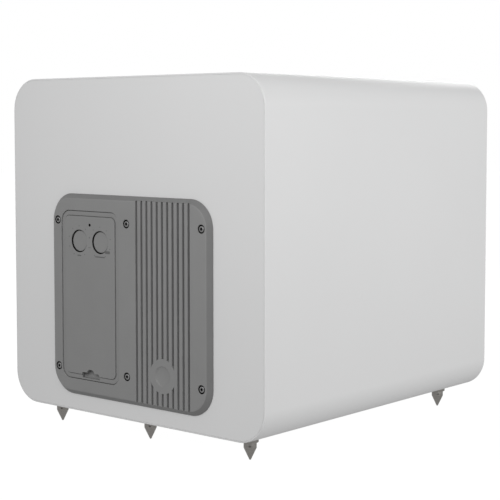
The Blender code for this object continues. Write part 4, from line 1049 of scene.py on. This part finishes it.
def studio_floor():
    """A wide floor under the spikes that shines plain white, and so takes almost no shadow."""
    mesh = turned([(0.0, 0.0), (9.0, 0.0)], 96, upright=True)
    data = bpy.data.meshes.new("floor")
    mesh.to_mesh(data)
    mesh.free()
    plain = {"Roughness": 0.95, "Specular_IOR_Level": 0.0, "Base_Color": (0.06, 0.06, 0.06, 1.0)}
    shine = {"Emission_Color": (1.0, 1.0, 1.0, 1.0), "Emission_Strength": 0.98}
    data.materials.append(shader_of("pale_floor", **plain, **shine)[0])
    made = bpy.data.objects.new("floor", data)
    made.location.z = FLOOR_Z
    made.visible_diffuse = False
    made.visible_glossy = False
    bpy.context.scene.collection.objects.link(made)


def studio():
    bpy.context.scene.view_settings.view_transform = "Standard"
    sky()
    studio_floor()
    middle = (0.0, 0.0, 0.24)
    softbox("rear_softbox", (-0.30, 1.02, 0.70), (-0.10, 0.22, 0.38), 0.8, 0.5, 3.9)
    softbox("right_softbox", (-1.25, -0.20, 0.48), (-0.2, -0.05, 0.34), 1.3, 0.5, 6.0)
    softbox("front_softbox", (0.7, -1.5, 0.9), middle, 1.0, 0.6, 7.0)
    softbox("left_softbox", (1.5, -0.2, 0.8), middle, 1.0, 0.6, 5.0)


camera()
studio()

LACQUER, STEEL, SCREW, BLACK = lacquer(), spike_steel(), screw_steel(), black_moulding()
STAIN, SHADOW, KNOB = black_stain(), painted_recess_shade(), knob_grey()
WHITE_RING = socket_ring("white_ring", (0.70, 0.70, 0.68))
RED_RING = socket_ring("red_ring", (0.42, 0.02, 0.02))
SPIDER = woven("spider_weave", (0.36, 0.23, 0.08), (0.62, 0.43, 0.18), 0.8 * MM)
WEAVE = woven("grille_weave", (0.028, 0.028, 0.030), (0.105, 0.105, 0.110), 0.85 * MM, Sheen_Weight=0.15)

cabinet_shell(LACQUER)
rear_board(LACQUER)
baffle_board(STAIN)
wadding(wadding_fluff())
feet(STEEL)
# The darker second powder coat is painted shade on the panel's chamfer.
amp_plate(powder_coat("powder_coat", 0.248), powder_coat("chamfer_painted_shade", 0.188), SHADOW)
screws(SCREW, SHADOW)
terminal_lid(moulded_grey(), SHADOW)
dial_marks(print_grey())
knob("level", KNOB)
knob("crossover", KNOB)
phono_fittings(gilt(), [("white", WHITE_RING), ("red", RED_RING), ("black", BLACK)])
basket(basket_paint(), SCREW)
cone_and_cap(cone_pulp())
surround_and_spider(roll_rubber(), SPIDER)
grille(STAIN, WEAVE)

dress(raw_fibreboard(), "window_brace")
dress(zinc_steel(), "socket_plate", "amp_housing", "level_potentiometer", "crossover_potentiometer",
      "top_plate", "yoke")
dress(foam_black(), "panel_gasket", "driver_gasket")
dress(BLACK, "phono_sockets", "phase_switch", "phase_slider", "power_mode_switch", "power_mode_slider",
      "mains_inlet", "fuse_drawer", "power_switch_frame", "power_rocker", "driver_terminal")
dress(lead_sleeve(), "speaker_lead")
dress(lamp_red(), "led_lens")
dress(solder_mask(), "amp_circuit_board")
dress(copper_winding(), "mains_transformer", "voice_coil")
dress(sleeve_blue(), "reservoir_capacitor_left", "reservoir_capacitor_right")
dress(ferrite_grey(), "ring_magnet")
